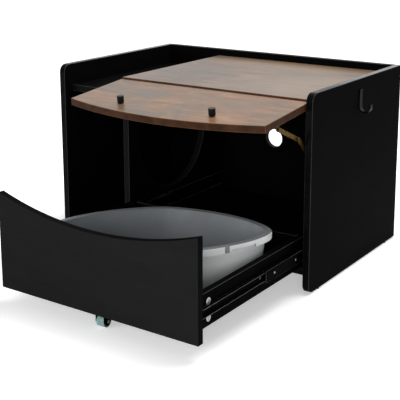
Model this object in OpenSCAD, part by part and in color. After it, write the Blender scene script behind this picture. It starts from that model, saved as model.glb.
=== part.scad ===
// Cabinet with a litter drawer: a cabinet of 16 mm boards with an entry bay on the left,
// a pull-out drawer that holds an oval litter pan, and a flap above the drawer.
// X runs to the right, Y from the front to the back, Z up. The origin is on the floor,
// in the middle of the cabinet. The drawer stands open and the flap is raised.

/* [Cabinet] */
// Width over the two side panels
cab_w = 720; // [640:1:800]
// Depth of the side panels
cab_d = 468; // [466:1:520]
// Height of the side panels above the floor
cab_h = 453; // [445:1:480]
// Thickness of the coated boards
board = 16; // [16:0.5:18]
// Thickness of the back panel
back_t = 15; // [12:0.5:18]
// Radius of the side panels' front corners
side_corner_r = 20; // [5:1:30]
// Height of the rim that the sides and back make round the top
gallery_h = 18; // [10:1:25]
// Inner width of the entry bay
bay_w = 168; // [150:1:190]
// Underside of the bottom panel above the floor
base_low = 36; // [36:1:38]
// How far the top panel and partition stand behind the side panels' front edges
top_setback = 24; // [24:0.5:27]
// How far the bottom panel stands behind those edges
inner_setback = 21; // [20.5:0.5:24]
// Depth of the entry bay's tray below the top panel's face
tray_drop = 36; // [25:1:60]
// How far the tray shelf stands behind the side panels' front edges
tray_setback = 29; // [20:1:40]

/* [Openings] */
// Diameter of the way in through the partition
entry_d = 284; // [240:1:290]
// Distance of the way in from the side panels' front edges
entry_from_front = 212; // [205:1:225]
// Height of the way in's centre above the floor
entry_z = 262; // [255:1:265]
// Diameter of the air hole in the back panel
vent_d = 50; // [30:1:80]
// Place of the air hole to the right of the middle
vent_x = 5; // [-20:1:20]
// Height of the air hole above the floor
vent_z = 220; // [180:1:260]

/* [Drawer front and flap] */
// Distance of the closed fronts behind the side panels' front edges
front_inset = 2; // [1:0.5:2]
// Gap between neighbouring fronts and panels
front_gap = 2.5; // [2:0.5:3.5]
// Amount by which the fronts leave the partition's left edge bare
partition_bare = 1.5; // [0.5:0.5:4]
// Height of the drawer front's lower edge above the floor
front_low = 35; // [33:1:38]
// Height of the drawer front's upper corners above the floor
front_corner_z = 249; // [240:1:255]
// Depth of the dip in the drawer front's upper edge
front_dip = 42; // [25:1:50]
// Travel of the drawer
drawer_travel = 402; // [390:1:402]
// Angle that the flap swings through
flap_swing = 84.4; // [80:0.1:86]
// Distance of a knob from the middle of the flap
knob_x = 122; // [90:1:150]
// Distance of a knob below the flap's upper edge
knob_drop = 170; // [150:1:175]
// Diameter of a knob
knob_d = 15.5; // [12:0.5:24]
// Length of a knob
knob_len = 17.5; // [14:0.5:30]

/* [Drawer box] */
// Thickness of the drawer's side panels
box_side_t = 15; // [14:0.5:16]
// Thickness of the drawer's back panel
box_back_t = 16; // [12:0.5:16]
// Height of the drawer box
box_h = 71; // [71:1:90]
// Height of the drawer box above the floor
box_low = 55.5; // [55:0.5:56]
// Length of the drawer box behind the drawer front
box_len = 417; // [417:1:420]
// Thickness of the drawer's base
base_sheet_t = 4; // [3:0.5:4]
// Height of the base's groove above the box's lower edge
base_rise = 2.5; // [2:0.5:3.5]
// Depth of the grooves that hold the base
groove_in = 5; // [4:0.5:6]

/* [Slides] */
// Space between the drawer box and the cabinet on each side
slide_space = 12.7; // [12.7:0.1:13.5]
// Length of the cabinet and drawer members
slide_len = 400; // [380:1:400]
// Length of the middle member
slide_mid_len = 340; // [320:1:345]
// Height of the slides' centre line above the floor
slide_z = 90; // [88:0.5:92]
// Half height of the cabinet member
slide_outer_half = 18; // [18:0.5:19]
// Half height of the middle member
slide_mid_half = 13.1; // [12.5:0.1:13.1]
// Half height of the drawer member
slide_inner_half = 9.4; // [8.5:0.1:9.4]
// Sheet thickness of the slides
slide_t = 1; // [0.8:0.1:1]
// Radius of the outer row's balls
ball_r_outer = 1.65; // [1.4:0.05:1.65]
// Radius of the inner row's balls
ball_r_inner = 1.05; // [0.8:0.05:1.05]
// Number of balls in a row
ball_count = 7; // [4:1:7]
// Distance between neighbouring balls
ball_pitch = 19; // [12:1:20]

/* [Pan] */
// Half length of the pan's rim
pan_a = 246; // [220:1:248]
// Half width of the pan's rim
pan_b = 156.5; // [130:0.5:158]
// Fullness of the pan's oval, where 2 is an ellipse
pan_n = 1.6; // [1.6:0.05:2]
// Turn of the pan in the drawer
pan_turn = 30.4; // [28:0.1:32]
// Place of the pan to the right of the cabinet's middle
pan_x = 90; // [88:0.5:93]
// Distance of the pan's centre behind the closed drawer front's face
pan_y = 212; // [205:1:215]
// Height of the pan over its rim
pan_h = 96.5; // [90:0.5:110]
// Height of the rim's skirt
rim_skirt_h = 16; // [12:0.5:20]
// Distance of the pan's wall inside the rim's edge
wall_inset = 13.5; // [12:0.5:22]
// Thickness of the pan's plastic
pan_t = 2.4; // [2:0.1:3]
// How much the pan's foot is smaller than its mouth
pan_taper = 0.96; // [0.8:0.01:0.97]

/* [Castor] */
// Diameter of the castor's wheel
wheel_d = 25; // [22:0.5:26]
// Width of the castor's wheel
wheel_w = 19.4; // [15:0.1:22]
// Place of the castor to the right of the cabinet's middle
castor_x = 87; // [60:1:100]
// Radius of the castor's cheeks round the axle
cheek_r = 8; // [6:0.5:10]

/* [Hinges] */
// Distance of a hinge from the middle of the flap
hinge_x = 170; // [140:1:200]
// Distance of the hinge pin behind the flap's outer face
pin_back = 6.5; // [6.5:0.1:6.6]
// Distance of the hinge pin below the flap's upper edge
pin_drop = 11.2; // [11:0.1:11.3]
// Radius of the hinge pin
pin_r = 1; // [0.9:0.05:1]
// Running clearance of the pins and rivets
run_gap = 0.05; // [0.04:0.01:0.08]
// Radius of the hinge cup's bore
cup_r = 17.5; // [17.5:0.1:17.6]
// Depth of the hinge cup's bore
cup_in = 12.4; // [12.3:0.1:12.4]
// Distance of the cup's centre below the flap's upper edge
cup_drop = 22; // [22:0.1:22.5]
// Width of the hinge arm
arm_w = 8; // [6:0.5:10]

/* [Stay] */
// Place of the stay's lower pivot behind the side panels' front edges
post_from_front = 61; // [55:1:65]
// Height of the stay's lower pivot above the floor
post_z = 273; // [268:1:278]
// Place of the open stay's elbow in front of the side panels' front edges
elbow_ahead = 24; // [20:1:28]
// Height of the open stay's elbow above the floor
elbow_z = 358; // [354:1:362]
// Distance of the stay's upper pivot below the flap's upper edge
ear_drop = 125.5; // [120:0.5:130]
// Distance of the stay's upper pivot from the flap's inner face
ear_off = 9.5; // [9.5:0.1:11]
// Thickness of a link
link_t = 2; // [1.8:0.1:2]
// Width of a link
link_w = 10; // [9:0.5:12]

/* [Small parts] */
// Diameter of a glide under a side panel
glide_d = 14; // [12:0.5:15]
// Height of a glide under a side panel
glide_h = 3; // [2.5:0.5:5]
// Distance of the hook from the side panels' front edges
hook_from_front = 234; // [220:1:250]
// Height of the hook's upper end above the floor
hook_top_z = 428; // [415:1:435]
// Height of the hook
hook_h = 54; // [45:1:60]
// How far the hook stands out
hook_out = 29; // [22:1:32]
// Width of the hook
hook_w = 14; // [10:1:18]
// Thickness of the hook
hook_t = 2.5; // [2:0.1:3]

/* [Hidden] */

// Colours of the real finishes
c_black = [0.09, 0.09, 0.09];
c_brown = [0.45, 0.3, 0.2];
c_steel = [0.7, 0.7, 0.7];
c_dark_steel = [0.16, 0.16, 0.17];
c_zinc = [0.78, 0.79, 0.8];
c_brass = [0.75, 0.6, 0.3];
c_pan = [0.72, 0.74, 0.74];
c_clip = [0.45, 0.46, 0.47];
c_tread = [0.49, 0.62, 0.6];
c_wood = [0.8, 0.65, 0.45];

// Facets of large, middle and small rounds
fn_arc = 720;
fn_mid = 96;
fn_small = 32;
// Overrun that keeps cuts clean
over = 1;
// Gap round fasteners in their holes
fit_gap = 0.05;

// A distance behind the side panels' front edges, as a place on Y
function from_front(d) = d - cab_d / 2;

// Faces of the boards
in_l = board - cab_w / 2;
in_r = cab_w / 2 - board;
part_l = in_l + bay_w;
part_r = part_l + board;
top_z = cab_h - gallery_h;
top_low = top_z - board;
base_top = base_low + board;
back_in = cab_d / 2 - back_t;
tray_z = top_z - tray_drop;
entry_y = from_front(entry_from_front);

// Outlines of the two fronts
front_l = part_l + partition_bare;
front_r = in_r - front_gap;
front_w = front_r - front_l;
front_mid = (front_l + front_r) / 2;
front_y = from_front(front_inset);
front_back_y = front_y + board;
dip_r = (pow(front_w / 2, 2) + pow(front_dip, 2)) / (2 * front_dip);
dip_z = front_corner_z - front_dip + dip_r;

// Drawer box
box_l = part_r + slide_space;
box_r = in_r - slide_space;
box_in_l = box_l + box_side_t;
box_in_r = box_r - box_side_t;
box_top = box_low + box_h;
box_back_y = front_back_y + box_len - box_back_t;
sheet_low = box_low + base_rise;
sheet_gap = 0.2;

// Places along the slides, closed
outer_setback = 1;
outer_y = from_front(top_setback + outer_setback);
inner_ahead = 2;
inner_y = front_back_y + inner_ahead;
middle_ahead = 30;
middle_y = front_back_y + middle_ahead;
// Share of the drawer's travel that the middle member makes
middle_share = 0.5;
middle_end_r = 6;
// The middle member's web and the inner ends of the members' flanges, from the cabinet's wall
outer_flange_in = 9.5;
middle_web_u = 2.4;
middle_flange_u = 11.2;
inner_flange_u = 5.4;
outer_cage_u = 1.4;
inner_cage_u = 3.9;
cage_t = 0.6;
cage_strip_t = 0.7;
outer_ball_u = 5.4;
inner_ball_u = 8.2;
outer_ball_v = (slide_outer_half - slide_t + slide_mid_half) / 2;
inner_ball_v = (slide_mid_half - slide_t + slide_inner_half) / 2;
cage_end = 7;
cage_len = ball_pitch * (ball_count - 1) + 2 * cage_end;
cage_hole_gap = 0.08;
// Rear ends of the cages behind the middle member's overlap, with the drawer open
outer_cage_back = 8;
inner_cage_back = 13;
outer_cage_y = outer_y + outer_cage_back;
inner_cage_y = middle_y - middle_share * drawer_travel + inner_cage_back;
member_screws_outer = [37, 197, 357];
member_screws_inner = [221, 310, 385];
rivet_places = [35, 125];
rivet_r = 2.6;

// Screws: shank radius, head radius, head height
slide_screw = [1.75, 3.2, 1];
wood_screw_small = [1.5, 2.8, 1.5];
wood_screw_large = [2.4, 4.4, 2.6];
slide_screw_len = 13;

// Cam fittings
cam_r = 7.4;
cam_bore_r = 7.5;
cam_h = 12.4;
cam_bore_h = 12.8;
cam_set = 34;
cam_pocket_r = 3.6;
cam_slot = [9, 1.4, 1.2];
bolt_in = 10.5;
bolt_thread_r = 2.5;
bolt_shank_r = 3;
bolt_neck_r = 2;
bolt_head_r = 3.2;
end_bore_r = 4;
cam_front = 80;
cam_rear = 60;
cam_rows = [from_front(cam_front), back_in - cam_rear];
drawer_cam_z = [72, 106];

// Hinge
axis_y = front_y + pin_back;
axis_z = top_z - pin_drop;
hinge_places = [front_mid - hinge_x, front_mid + hinge_x];
cup_wall = 0.8;
cup_gap = 0.05;
eye_r = 1.9;
arm_t = 2.5;
arm_drop = 13.5;
arm_len = 66;
plate_w = 24;
plate_y = [20, 64];
flange_t = 1.2;
flange_r = 18.4;
wing_half = 31;
wing_h = 12;
wing_drop = 5.5;
cup_screw_x = 24;

// Stay, in planes counted inwards from the right side panel
lower_link_x = in_r - 4.5;
upper_link_x = lower_link_x - 3.1;
ear_t = 1.8;
ear_x = upper_link_x - 2.4;
rivet_shank_r = 2.5;
link_r = link_w / 2;
post_p = [from_front(post_from_front), post_z];
elbow_p = [from_front(-elbow_ahead), elbow_z];
ear_closed = [front_back_y + ear_off, top_z - ear_drop];
ear_p = turned(ear_closed, -flap_swing);

// A point [y, z] turned about the flap's axis
function turned(p, a) = [
    axis_y + (p[0] - axis_y) * cos(a) - (p[1] - axis_z) * sin(a),
    axis_z + (p[0] - axis_y) * sin(a) + (p[1] - axis_z) * cos(a)];

// Castor
cheek_t = 1.5;
tread_t = 1.6;
castor_y = front_back_y + 12.3;
axle_z = wheel_d / 2;
cheek_gap = 0.4;
axle_r = 2;
plate_high = 56;
cheek_high = base_low - 2;
castor_screw_z = 46;
castor_screw_x = 7;

// Pan
pan_low = sheet_low + base_sheet_t;
pan_top = pan_low + pan_h;
pan_points = 120;
clip_w = 10;
rim_seat_gap = 0.3;

// ---- helpers ----

// Stretches a flat outline drawn in X and Z along Y, from y0 over t
module along_y(y0, t) {
    translate([0, y0 + t, 0]) rotate([90, 0, 0]) linear_extrude(t) children();
}

// Stretches a flat outline drawn in Y and Z along X, from x0 over t
module along_x(x0, t) {
    translate([x0, 0, 0]) rotate([90, 0, 90]) linear_extrude(t) children();
}

// A box between two corners
module block(a, b) {
    translate(a) cube(b - a);
}

// A rod along X, Y or Z
module rod_x(p, r, len) {
    translate(p) rotate([0, 90, 0]) cylinder(r = r, h = len, $fn = fn_small);
}

// A countersunk screw whose head lies flush with z = 0 and which points down
module screw(kind, len, gap = 0) {
    r = kind[0] + gap;
    head_r = kind[1] + gap;
    translate([0, 0, -kind[2]]) cylinder(r1 = r, r2 = head_r, h = kind[2], $fn = fn_small);
    translate([0, 0, -len - gap]) cylinder(r = r, h = len + gap - kind[2], $fn = fn_small);
}

module cross_screw(kind, len) {
    slot = 0.5;
    depth = kind[2] * 0.5;
    difference() {
        screw(kind, len);
        for (a = [0, 90]) rotate([0, 0, a])
            translate([-kind[1] * 0.6, -slot / 2, -depth])
                cube([kind[1] * 1.2, slot, depth + over]);
    }
}

// The hole for such a screw, open above its head
module screw_hole(kind, len) {
    screw(kind, len, fit_gap);
    cylinder(r = kind[1] + fit_gap, h = over, $fn = fn_small);
}

// Cam fitting: the joint lies at x = 0, the cam's board runs along +X with its middle at z = 0
module cam(t) {
    difference() {
        translate([cam_set, 0, -t / 2]) cylinder(r = cam_r, h = cam_h, $fn = fn_mid);
        rod_x([cam_set - cam_r - over, 0, 0], cam_pocket_r, cam_r + over + cam_pocket_r);
        for (a = [0, 90]) translate([cam_set, 0, -t / 2]) rotate([0, 0, a])
            translate([-cam_slot[0] / 2, -cam_slot[1] / 2, -over])
                cube([cam_slot[0], cam_slot[1], cam_slot[2] + over]);
    }
}

module cam_bolt() {
    head_x = cam_set - 1;
    neck_x = cam_set - 5;
    rod_x([-bolt_in, 0, 0], bolt_thread_r, bolt_in);
    rod_x([0, 0, 0], bolt_shank_r, neck_x);
    rod_x([neck_x, 0, 0], bolt_neck_r, head_x - neck_x);
    rod_x([head_x, 0, 0], bolt_head_r, 3.5);
}

module cam_holes(t) {
    translate([cam_set, 0, -t / 2 - over])
        cylinder(r = cam_bore_r, h = cam_bore_h + over, $fn = fn_mid);
    rod_x([-over, 0, 0], end_bore_r, cam_set + over);
}

module bolt_hole() {
    rod_x([-bolt_in - 0.3, 0, 0], bolt_thread_r + fit_gap, bolt_in + 0.3 + over);
}

// Places of the cabinet's cam fittings: on the bottom panel, the top panel and the tray shelf
base_mid = base_low + board / 2;
top_mid = top_low + board / 2;
tray_mid = tray_z - board / 2;
base_cams = [for (y = cam_rows) each [[in_l, y, base_mid, 0], [in_r, y, base_mid, 180]]];
top_cams = [for (y = cam_rows) [in_r, y, top_mid, 180]];
tray_cams = [for (y = cam_rows) each [[in_l, y, tray_mid, 0], [part_l, y, tray_mid, 180]]];

module at_cams(places) {
    for (c = places) translate([c[0], c[1], c[2]]) rotate([0, 0, c[3]]) children();
}

// Places of the drawer's cam fittings: dir is 1 on the right side and -1 on the left
module at_drawer_cams(dir) {
    x = dir > 0 ? box_r - box_side_t / 2 : box_l + box_side_t / 2;
    for (z = drawer_cam_z) translate([x, front_back_y, z]) rotate([-90 * dir, 0, 90]) children();
}

// Moves closed drawer pieces to the open drawer, each by its share of the travel
module drawn(share = 1) {
    translate([0, -drawer_travel * share, 0]) children();
}

// Turns closed flap pieces to the raised flap
module raised() {
    translate([0, axis_y, axis_z]) rotate([-flap_swing, 0, 0])
        translate([0, -axis_y, -axis_z]) children();
}

// ---- cabinet ----

module side_outline() {
    r = side_corner_r;
    y = -cab_d / 2;
    union() {
        translate([y + r, glide_h]) square([cab_d - r, cab_h - glide_h]);
        translate([y, glide_h + r]) square([cab_d, cab_h - glide_h - 2 * r]);
        for (z = [glide_h + r, cab_h - r]) translate([y + r, z]) circle(r = r, $fn = fn_mid);
    }
}

glide_front = 51;
glide_rear = 53;
glide_rows = [from_front(glide_front), cab_d / 2 - glide_rear];
nail_r = 1.2;
nail_len = 14;

module at_glides(x) {
    for (y = glide_rows) translate([x, y, 0]) children();
}

module nail_hole() {
    translate([0, 0, glide_h - over])
        cylinder(r = nail_r + fit_gap, h = nail_len + over + 0.2, $fn = fn_small);
}

module left_side_panel() {
    color(c_black) difference() {
        along_x(-cab_w / 2, board) side_outline();
        at_cams([for (c = concat(base_cams, tray_cams)) if (c[0] == in_l) c]) bolt_hole();
        at_glides(board / 2 - cab_w / 2) nail_hole();
    }
}

module right_side_panel() {
    color(c_black) difference() {
        along_x(in_r, board) side_outline();
        at_cams([for (c = concat(base_cams, top_cams)) if (c[0] == in_r) c]) bolt_hole();
        at_glides(cab_w / 2 - board / 2) nail_hole();
        at_outer_screws(1) screw_hole(slide_screw, slide_screw_len);
        at_hook_screws() screw_hole(wood_screw_small, hook_screw_len);
        rod_x([in_r - over, post_p[0], post_p[1]], post_thread_r + fit_gap,
            post_thread_len + over + 0.2);
    }
}

back_screw_len = 40;
back_screw_in = 60;
back_screw_in_top = 80;
back_screw_up = 88;
back_screw_down = 79;
back_screw_places = [
    [in_l + back_screw_in, base_mid], [0, base_mid], [in_r - back_screw_in, base_mid],
    [part_r + back_screw_in_top, top_mid], [in_r - back_screw_in_top, top_mid],
    [(in_l + part_l) / 2, tray_mid], [(part_l + part_r) / 2, base_top + back_screw_up],
    [(part_l + part_r) / 2, top_low - back_screw_down]];

module at_back_screws() {
    for (p = back_screw_places) translate([p[0], cab_d / 2, p[1]]) rotate([-90, 0, 0]) children();
}

module back_screw_holes() {
    at_back_screws() screw_hole(wood_screw_large, back_screw_len);
}

module back_panel() {
    color(c_black) difference() {
        block([in_l, back_in, base_low], [in_r, cab_d / 2, cab_h]);
        translate([vent_x, back_in - over, vent_z]) rotate([-90, 0, 0])
            cylinder(d = vent_d, h = back_t + 2 * over, $fn = fn_mid);
        back_screw_holes();
    }
}

dowel_r = 4;
dowel_len = 20;
dowel_up = 10;
dowel_front = 60;
dowel_ahead = 8;
dowel_rear = 53;
dowel_rows = [from_front(dowel_front), -dowel_ahead, back_in - dowel_rear];

module at_dowels() {
    for (y = dowel_rows) translate([(part_l + part_r) / 2, y, top_low + dowel_up - dowel_len])
        children();
}

module dowel_hole() {
    translate([0, 0, -0.2]) cylinder(r = dowel_r + fit_gap, h = dowel_len + 0.4, $fn = fn_small);
}

// The screws from below stand between the dowels and the panel's ends
screw_in = 10;
partition_screw_rows = [dowel_rows[0] + screw_in, dowel_rows[1], dowel_rows[2] - screw_in];
partition_screw_len = 45;

module at_partition_screws() {
    for (y = partition_screw_rows) translate([(part_l + part_r) / 2, y, base_low])
        rotate([180, 0, 0]) children();
}

module partition_panel() {
    color(c_black) difference() {
        block([part_l, from_front(top_setback), base_top], [part_r, back_in, top_low]);
        entry_hole();
        at_dowels() dowel_hole();
        at_partition_screws() screw_hole(wood_screw_large, partition_screw_len);
        at_cams([for (c = tray_cams) if (c[0] == part_l) c]) bolt_hole();
        at_outer_screws(-1) screw_hole(slide_screw, slide_screw_len);
        back_screw_holes();
    }
}

module entry_hole() {
    translate([part_l - over, entry_y, entry_z]) rotate([0, 90, 0])
        cylinder(d = entry_d, h = board + 2 * over, $fn = fn_arc);
}

module bottom_panel() {
    color(c_black) difference() {
        block([in_l, from_front(inner_setback), base_low], [in_r, back_in, base_top]);
        at_cams(base_cams) cam_holes(board);
        at_partition_screws() screw_hole(wood_screw_large, partition_screw_len);
        back_screw_holes();
    }
}

module top_panel() {
    color(c_brown) difference() {
        block([part_l, from_front(top_setback), top_low], [in_r, back_in, top_z]);
        at_cams(top_cams) cam_holes(board);
        at_dowels() dowel_hole();
        at_plate_screws() screw_hole(wood_screw_small, plate_screw_len);
        back_screw_holes();
    }
}

module tray_shelf() {
    color(c_black) difference() {
        block([in_l, from_front(tray_setback), tray_z - board], [part_l, back_in, tray_z]);
        at_cams(tray_cams) cam_holes(board);
        back_screw_holes();
    }
}

module panel_cams() {
    color(c_zinc) at_cams(concat(base_cams, top_cams, tray_cams)) cam(board);
}

module panel_cam_bolts() {
    color(c_steel) at_cams(concat(base_cams, top_cams, tray_cams)) cam_bolt();
}

module partition_dowels() {
    color(c_wood) at_dowels() cylinder(r = dowel_r, h = dowel_len, $fn = fn_small);
}

module partition_screws() {
    color(c_zinc) at_partition_screws() cross_screw(wood_screw_large, partition_screw_len);
}

module back_screws() {
    color(c_zinc) at_back_screws() cross_screw(wood_screw_large, back_screw_len);
}

module glide() {
    cylinder(d = glide_d, h = glide_h, $fn = fn_small);
    translate([0, 0, glide_h]) cylinder(r = nail_r, h = nail_len, $fn = fn_small);
}

module glides() {
    color(c_dark_steel) for (s = [-1, 1]) at_glides(s * (cab_w - board) / 2) glide();
}

// ---- hook on the right side ----

hook_y = from_front(hook_from_front);
hook_screw_len = 14;
hook_screw_drops = [8, 26];

module at_hook_screws() {
    for (d = hook_screw_drops)
        translate([cab_w / 2 + hook_t, hook_y, hook_top_z - d]) rotate([0, 90, 0]) children();
}

module hook_outline() {
    r = hook_out / 2;
    low = hook_top_z - hook_h + r;
    translate([cab_w / 2, low]) square([hook_t, hook_h - r]);
    translate([cab_w / 2 + hook_out - hook_t, low]) square([hook_t, 6]);
    difference() {
        translate([cab_w / 2 + r, low]) circle(r = r, $fn = fn_mid);
        translate([cab_w / 2 + r, low]) circle(r = r - hook_t, $fn = fn_mid);
        translate([cab_w / 2, low]) square([hook_out, r + over]);
    }
}

module towel_hook() {
    color(c_dark_steel) difference() {
        along_y(hook_y - hook_w / 2, hook_w) hook_outline();
        at_hook_screws() screw_hole(wood_screw_small, hook_screw_len);
    }
}

module hook_screws() {
    color(c_dark_steel) at_hook_screws() cross_screw(wood_screw_small, hook_screw_len);
}

// ---- slides: drawn for the right side and mirrored for the left ----

// Puts a slide piece drawn in u (away from the cabinet's wall) and v (up) on one side
module on_side(dir, y, len) {
    wall = dir > 0 ? in_r : part_r;
    along_y(y, len) translate([wall, slide_z]) mirror([dir > 0 ? 1 : 0, 0]) children();
}

module both_ways() {
    children();
    mirror([0, 1]) children();
}

module outer_section() {
    h = slide_outer_half;
    translate([0, -h]) square([slide_t, 2 * h]);
    both_ways() translate([0, h - slide_t]) square([outer_flange_in, slide_t]);
}

module middle_section() {
    h = slide_mid_half;
    translate([middle_web_u, -h]) square([slide_t, 2 * h]);
    both_ways() translate([middle_web_u, h - slide_t])
        square([middle_flange_u - middle_web_u, slide_t]);
}

module inner_section() {
    h = slide_inner_half;
    translate([slide_space - slide_t, -h]) square([slide_t, 2 * h]);
    both_ways() translate([inner_flange_u, h - slide_t])
        square([slide_space - inner_flange_u, slide_t]);
}

module at_outer_screws(dir) {
    wall = dir > 0 ? in_r : part_r;
    for (d = member_screws_outer) translate([wall - dir * slide_t, outer_y + d, slide_z])
        rotate([0, -90 * dir, 0]) children();
}

module at_inner_screws(dir) {
    wall = dir > 0 ? box_r : box_l;
    for (d = member_screws_inner) translate([wall + dir * slide_t, inner_y + d, slide_z])
        rotate([0, 90 * dir, 0]) children();
}

module slide_outer(dir) {
    color(c_dark_steel) difference() {
        on_side(dir, outer_y, slide_len) outer_section();
        at_outer_screws(dir) screw_hole(slide_screw, slide_screw_len);
    }
}

module slide_outer_left() { slide_outer(-1); }
module slide_outer_right() { slide_outer(1); }

module slide_outer_screws() {
    color(c_zinc) for (dir = [-1, 1]) at_outer_screws(dir)
        cross_screw(slide_screw, slide_screw_len);
}

module at_rivets(dir) {
    wall = dir > 0 ? in_r : part_r;
    for (d = rivet_places) translate([wall - dir * middle_web_u, middle_y + d, slide_z])
        rotate([0, -90 * dir, 0]) children();
}

// Side view of the middle member, with a rounded front end
module middle_outline() {
    h = slide_mid_half;
    r = middle_end_r;
    translate([middle_y + r, slide_z - h]) square([slide_mid_len - r, 2 * h]);
    translate([middle_y, slide_z - h + r]) square([slide_mid_len, 2 * (h - r)]);
    for (s = [-1, 1]) translate([middle_y + r, slide_z + s * (h - r)])
        circle(r = r, $fn = fn_mid);
}

// The middle member with its two riveted stops
module slide_middle(dir) {
    color(c_dark_steel) drawn(middle_share) difference() {
        intersection() {
            on_side(dir, middle_y, slide_mid_len) middle_section();
            along_x(dir > 0 ? in_r - slide_space : part_r, slide_space) middle_outline();
        }
        at_rivets(dir) translate([0, 0, -over])
            cylinder(r = rivet_r + fit_gap, h = slide_t + 2 * over, $fn = fn_small);
    }
    color(c_zinc) drawn(middle_share) at_rivets(dir)
        cylinder(r = rivet_r, h = slide_t, $fn = fn_small);
}

module slide_middle_left() { slide_middle(-1); }
module slide_middle_right() { slide_middle(1); }

module slide_inner(dir) {
    color(c_dark_steel) drawn() difference() {
        on_side(dir, inner_y, slide_len) inner_section();
        at_inner_screws(dir) screw_hole(slide_screw, slide_screw_len);
    }
}

module slide_inner_left() { slide_inner(-1); }
module slide_inner_right() { slide_inner(1); }

module slide_inner_screws() {
    color(c_zinc) drawn() for (dir = [-1, 1]) at_inner_screws(dir)
        cross_screw(slide_screw, slide_screw_len);
}

// Places of a race's balls, one row above and one below
module at_balls(dir, y, u, v) {
    wall = dir > 0 ? in_r : part_r;
    for (i = [0 : ball_count - 1], s = [-1, 1])
        translate([wall - dir * u, y + cage_end + i * ball_pitch, slide_z + s * v]) children();
}

module cage_section(u, u_end, v) {
    t = cage_strip_t / 2;
    translate([u, -v - t]) square([cage_t, 2 * (v + t)]);
    both_ways() translate([u, v - t]) square([u_end - u, cage_strip_t]);
}

// A cage with its balls
module ball_race(dir, y, cage_u, cage_u_end, u, v, r) {
    color(c_steel) difference() {
        on_side(dir, y, cage_len) cage_section(cage_u, cage_u_end, v);
        at_balls(dir, y, u, v) translate([0, 0, -cage_strip_t])
            cylinder(r = r + cage_hole_gap, h = 2 * cage_strip_t, $fn = fn_small);
    }
    color(c_zinc) at_balls(dir, y, u, v) sphere(r = r, $fn = fn_small);
}

module outer_ball_race(dir) {
    ball_race(dir, outer_cage_y, outer_cage_u, outer_flange_in - 1, outer_ball_u, outer_ball_v,
        ball_r_outer);
}

module inner_ball_race(dir) {
    ball_race(dir, inner_cage_y, inner_cage_u, middle_flange_u - 1, inner_ball_u, inner_ball_v,
        ball_r_inner);
}

module outer_ball_race_left() { outer_ball_race(-1); }
module outer_ball_race_right() { outer_ball_race(1); }
module inner_ball_race_left() { inner_ball_race(-1); }
module inner_ball_race_right() { inner_ball_race(1); }

// ---- drawer ----

module drawer_front() {
    color(c_black) drawn() difference() {
        along_y(front_y, board) difference() {
            translate([front_l, front_low]) square([front_w, front_corner_z - front_low]);
            translate([front_mid, dip_z]) circle(r = dip_r, $fn = fn_arc);
        }
        at_drawer_cams(1) bolt_hole();
        at_drawer_cams(-1) bolt_hole();
        base_groove();
        at_castor_screws() screw_hole(wood_screw_small, castor_screw_len);
    }
}

// Room for the base's edge in the boards round it
module base_groove() {
    block([box_in_l - groove_in, front_back_y - groove_in, sheet_low - sheet_gap / 2],
        [box_in_r + groove_in, box_back_y + groove_in, sheet_low + base_sheet_t + sheet_gap / 2]);
}

module drawer_side(dir) {
    x = dir > 0 ? box_in_r : box_l;
    color(c_black) drawn() difference() {
        block([x, front_back_y, box_low], [x + box_side_t, front_back_y + box_len, box_top]);
        at_drawer_cams(dir) cam_holes(box_side_t);
        base_groove();
        at_inner_screws(dir) screw_hole(slide_screw, slide_screw_len);
        at_box_screws(dir) screw_hole(wood_screw_large, box_screw_len);
    }
}

module drawer_left_side() { drawer_side(-1); }
module drawer_right_side() { drawer_side(1); }

box_screw_len = 42;
box_screw_z = [76, 112];

module at_box_screws(dir) {
    x = dir > 0 ? box_r : box_l;
    for (z = box_screw_z) translate([x, box_back_y + box_back_t / 2, z])
        rotate([0, 90 * dir, 0]) children();
}

module drawer_back() {
    color(c_black) drawn() difference() {
        block([box_in_l, box_back_y, box_low], [box_in_r, box_back_y + box_back_t, box_top]);
        base_groove();
        at_box_screws(1) screw_hole(wood_screw_large, box_screw_len);
        at_box_screws(-1) screw_hole(wood_screw_large, box_screw_len);
    }
}

module drawer_base() {
    g = groove_in - sheet_gap;
    color(c_black) drawn()
        block([box_in_l - g, front_back_y - g, sheet_low],
            [box_in_r + g, box_back_y + g, sheet_low + base_sheet_t]);
}

module drawer_cams() {
    color(c_zinc) drawn() for (dir = [-1, 1]) at_drawer_cams(dir) cam(box_side_t);
}

module drawer_cam_bolts() {
    color(c_steel) drawn() for (dir = [-1, 1]) at_drawer_cams(dir) cam_bolt();
}

module drawer_back_screws() {
    color(c_dark_steel) drawn() for (dir = [-1, 1]) at_box_screws(dir)
        cross_screw(wood_screw_large, box_screw_len);
}

// ---- castor behind the drawer front ----

castor_screw_len = 14;

module at_castor_screws() {
    for (s = [-1, 1])
        translate([castor_x + s * castor_screw_x, front_back_y + cheek_t, castor_screw_z])
            rotate([-90, 0, 0]) children();
}

module cheek_outline() {
    translate([castor_y, axle_z]) circle(r = cheek_r, $fn = fn_mid);
    translate([front_back_y, axle_z])
        square([castor_y + cheek_r - front_back_y, cheek_high - axle_z]);
}

module castor_bracket() {
    out = wheel_w / 2 + cheek_gap;
    color(c_dark_steel) drawn() difference() {
        union() {
            block([castor_x - out - cheek_t, front_back_y, axle_z],
                [castor_x + out + cheek_t, front_back_y + cheek_t, plate_high]);
            for (x = [castor_x - out - cheek_t, castor_x + out]) along_x(x, cheek_t) cheek_outline();
        }
        at_castor_screws() screw_hole(wood_screw_small, castor_screw_len);
        translate([0, -over, 0]) block([castor_x - out, front_back_y, 0],
            [castor_x + out, castor_y + wheel_d, axle_z + wheel_d / 2 + 1]);
        rod_x([castor_x - out - cheek_t - over, castor_y, axle_z], axle_r + fit_gap,
            2 * (out + cheek_t + over));
    }
}

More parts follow.
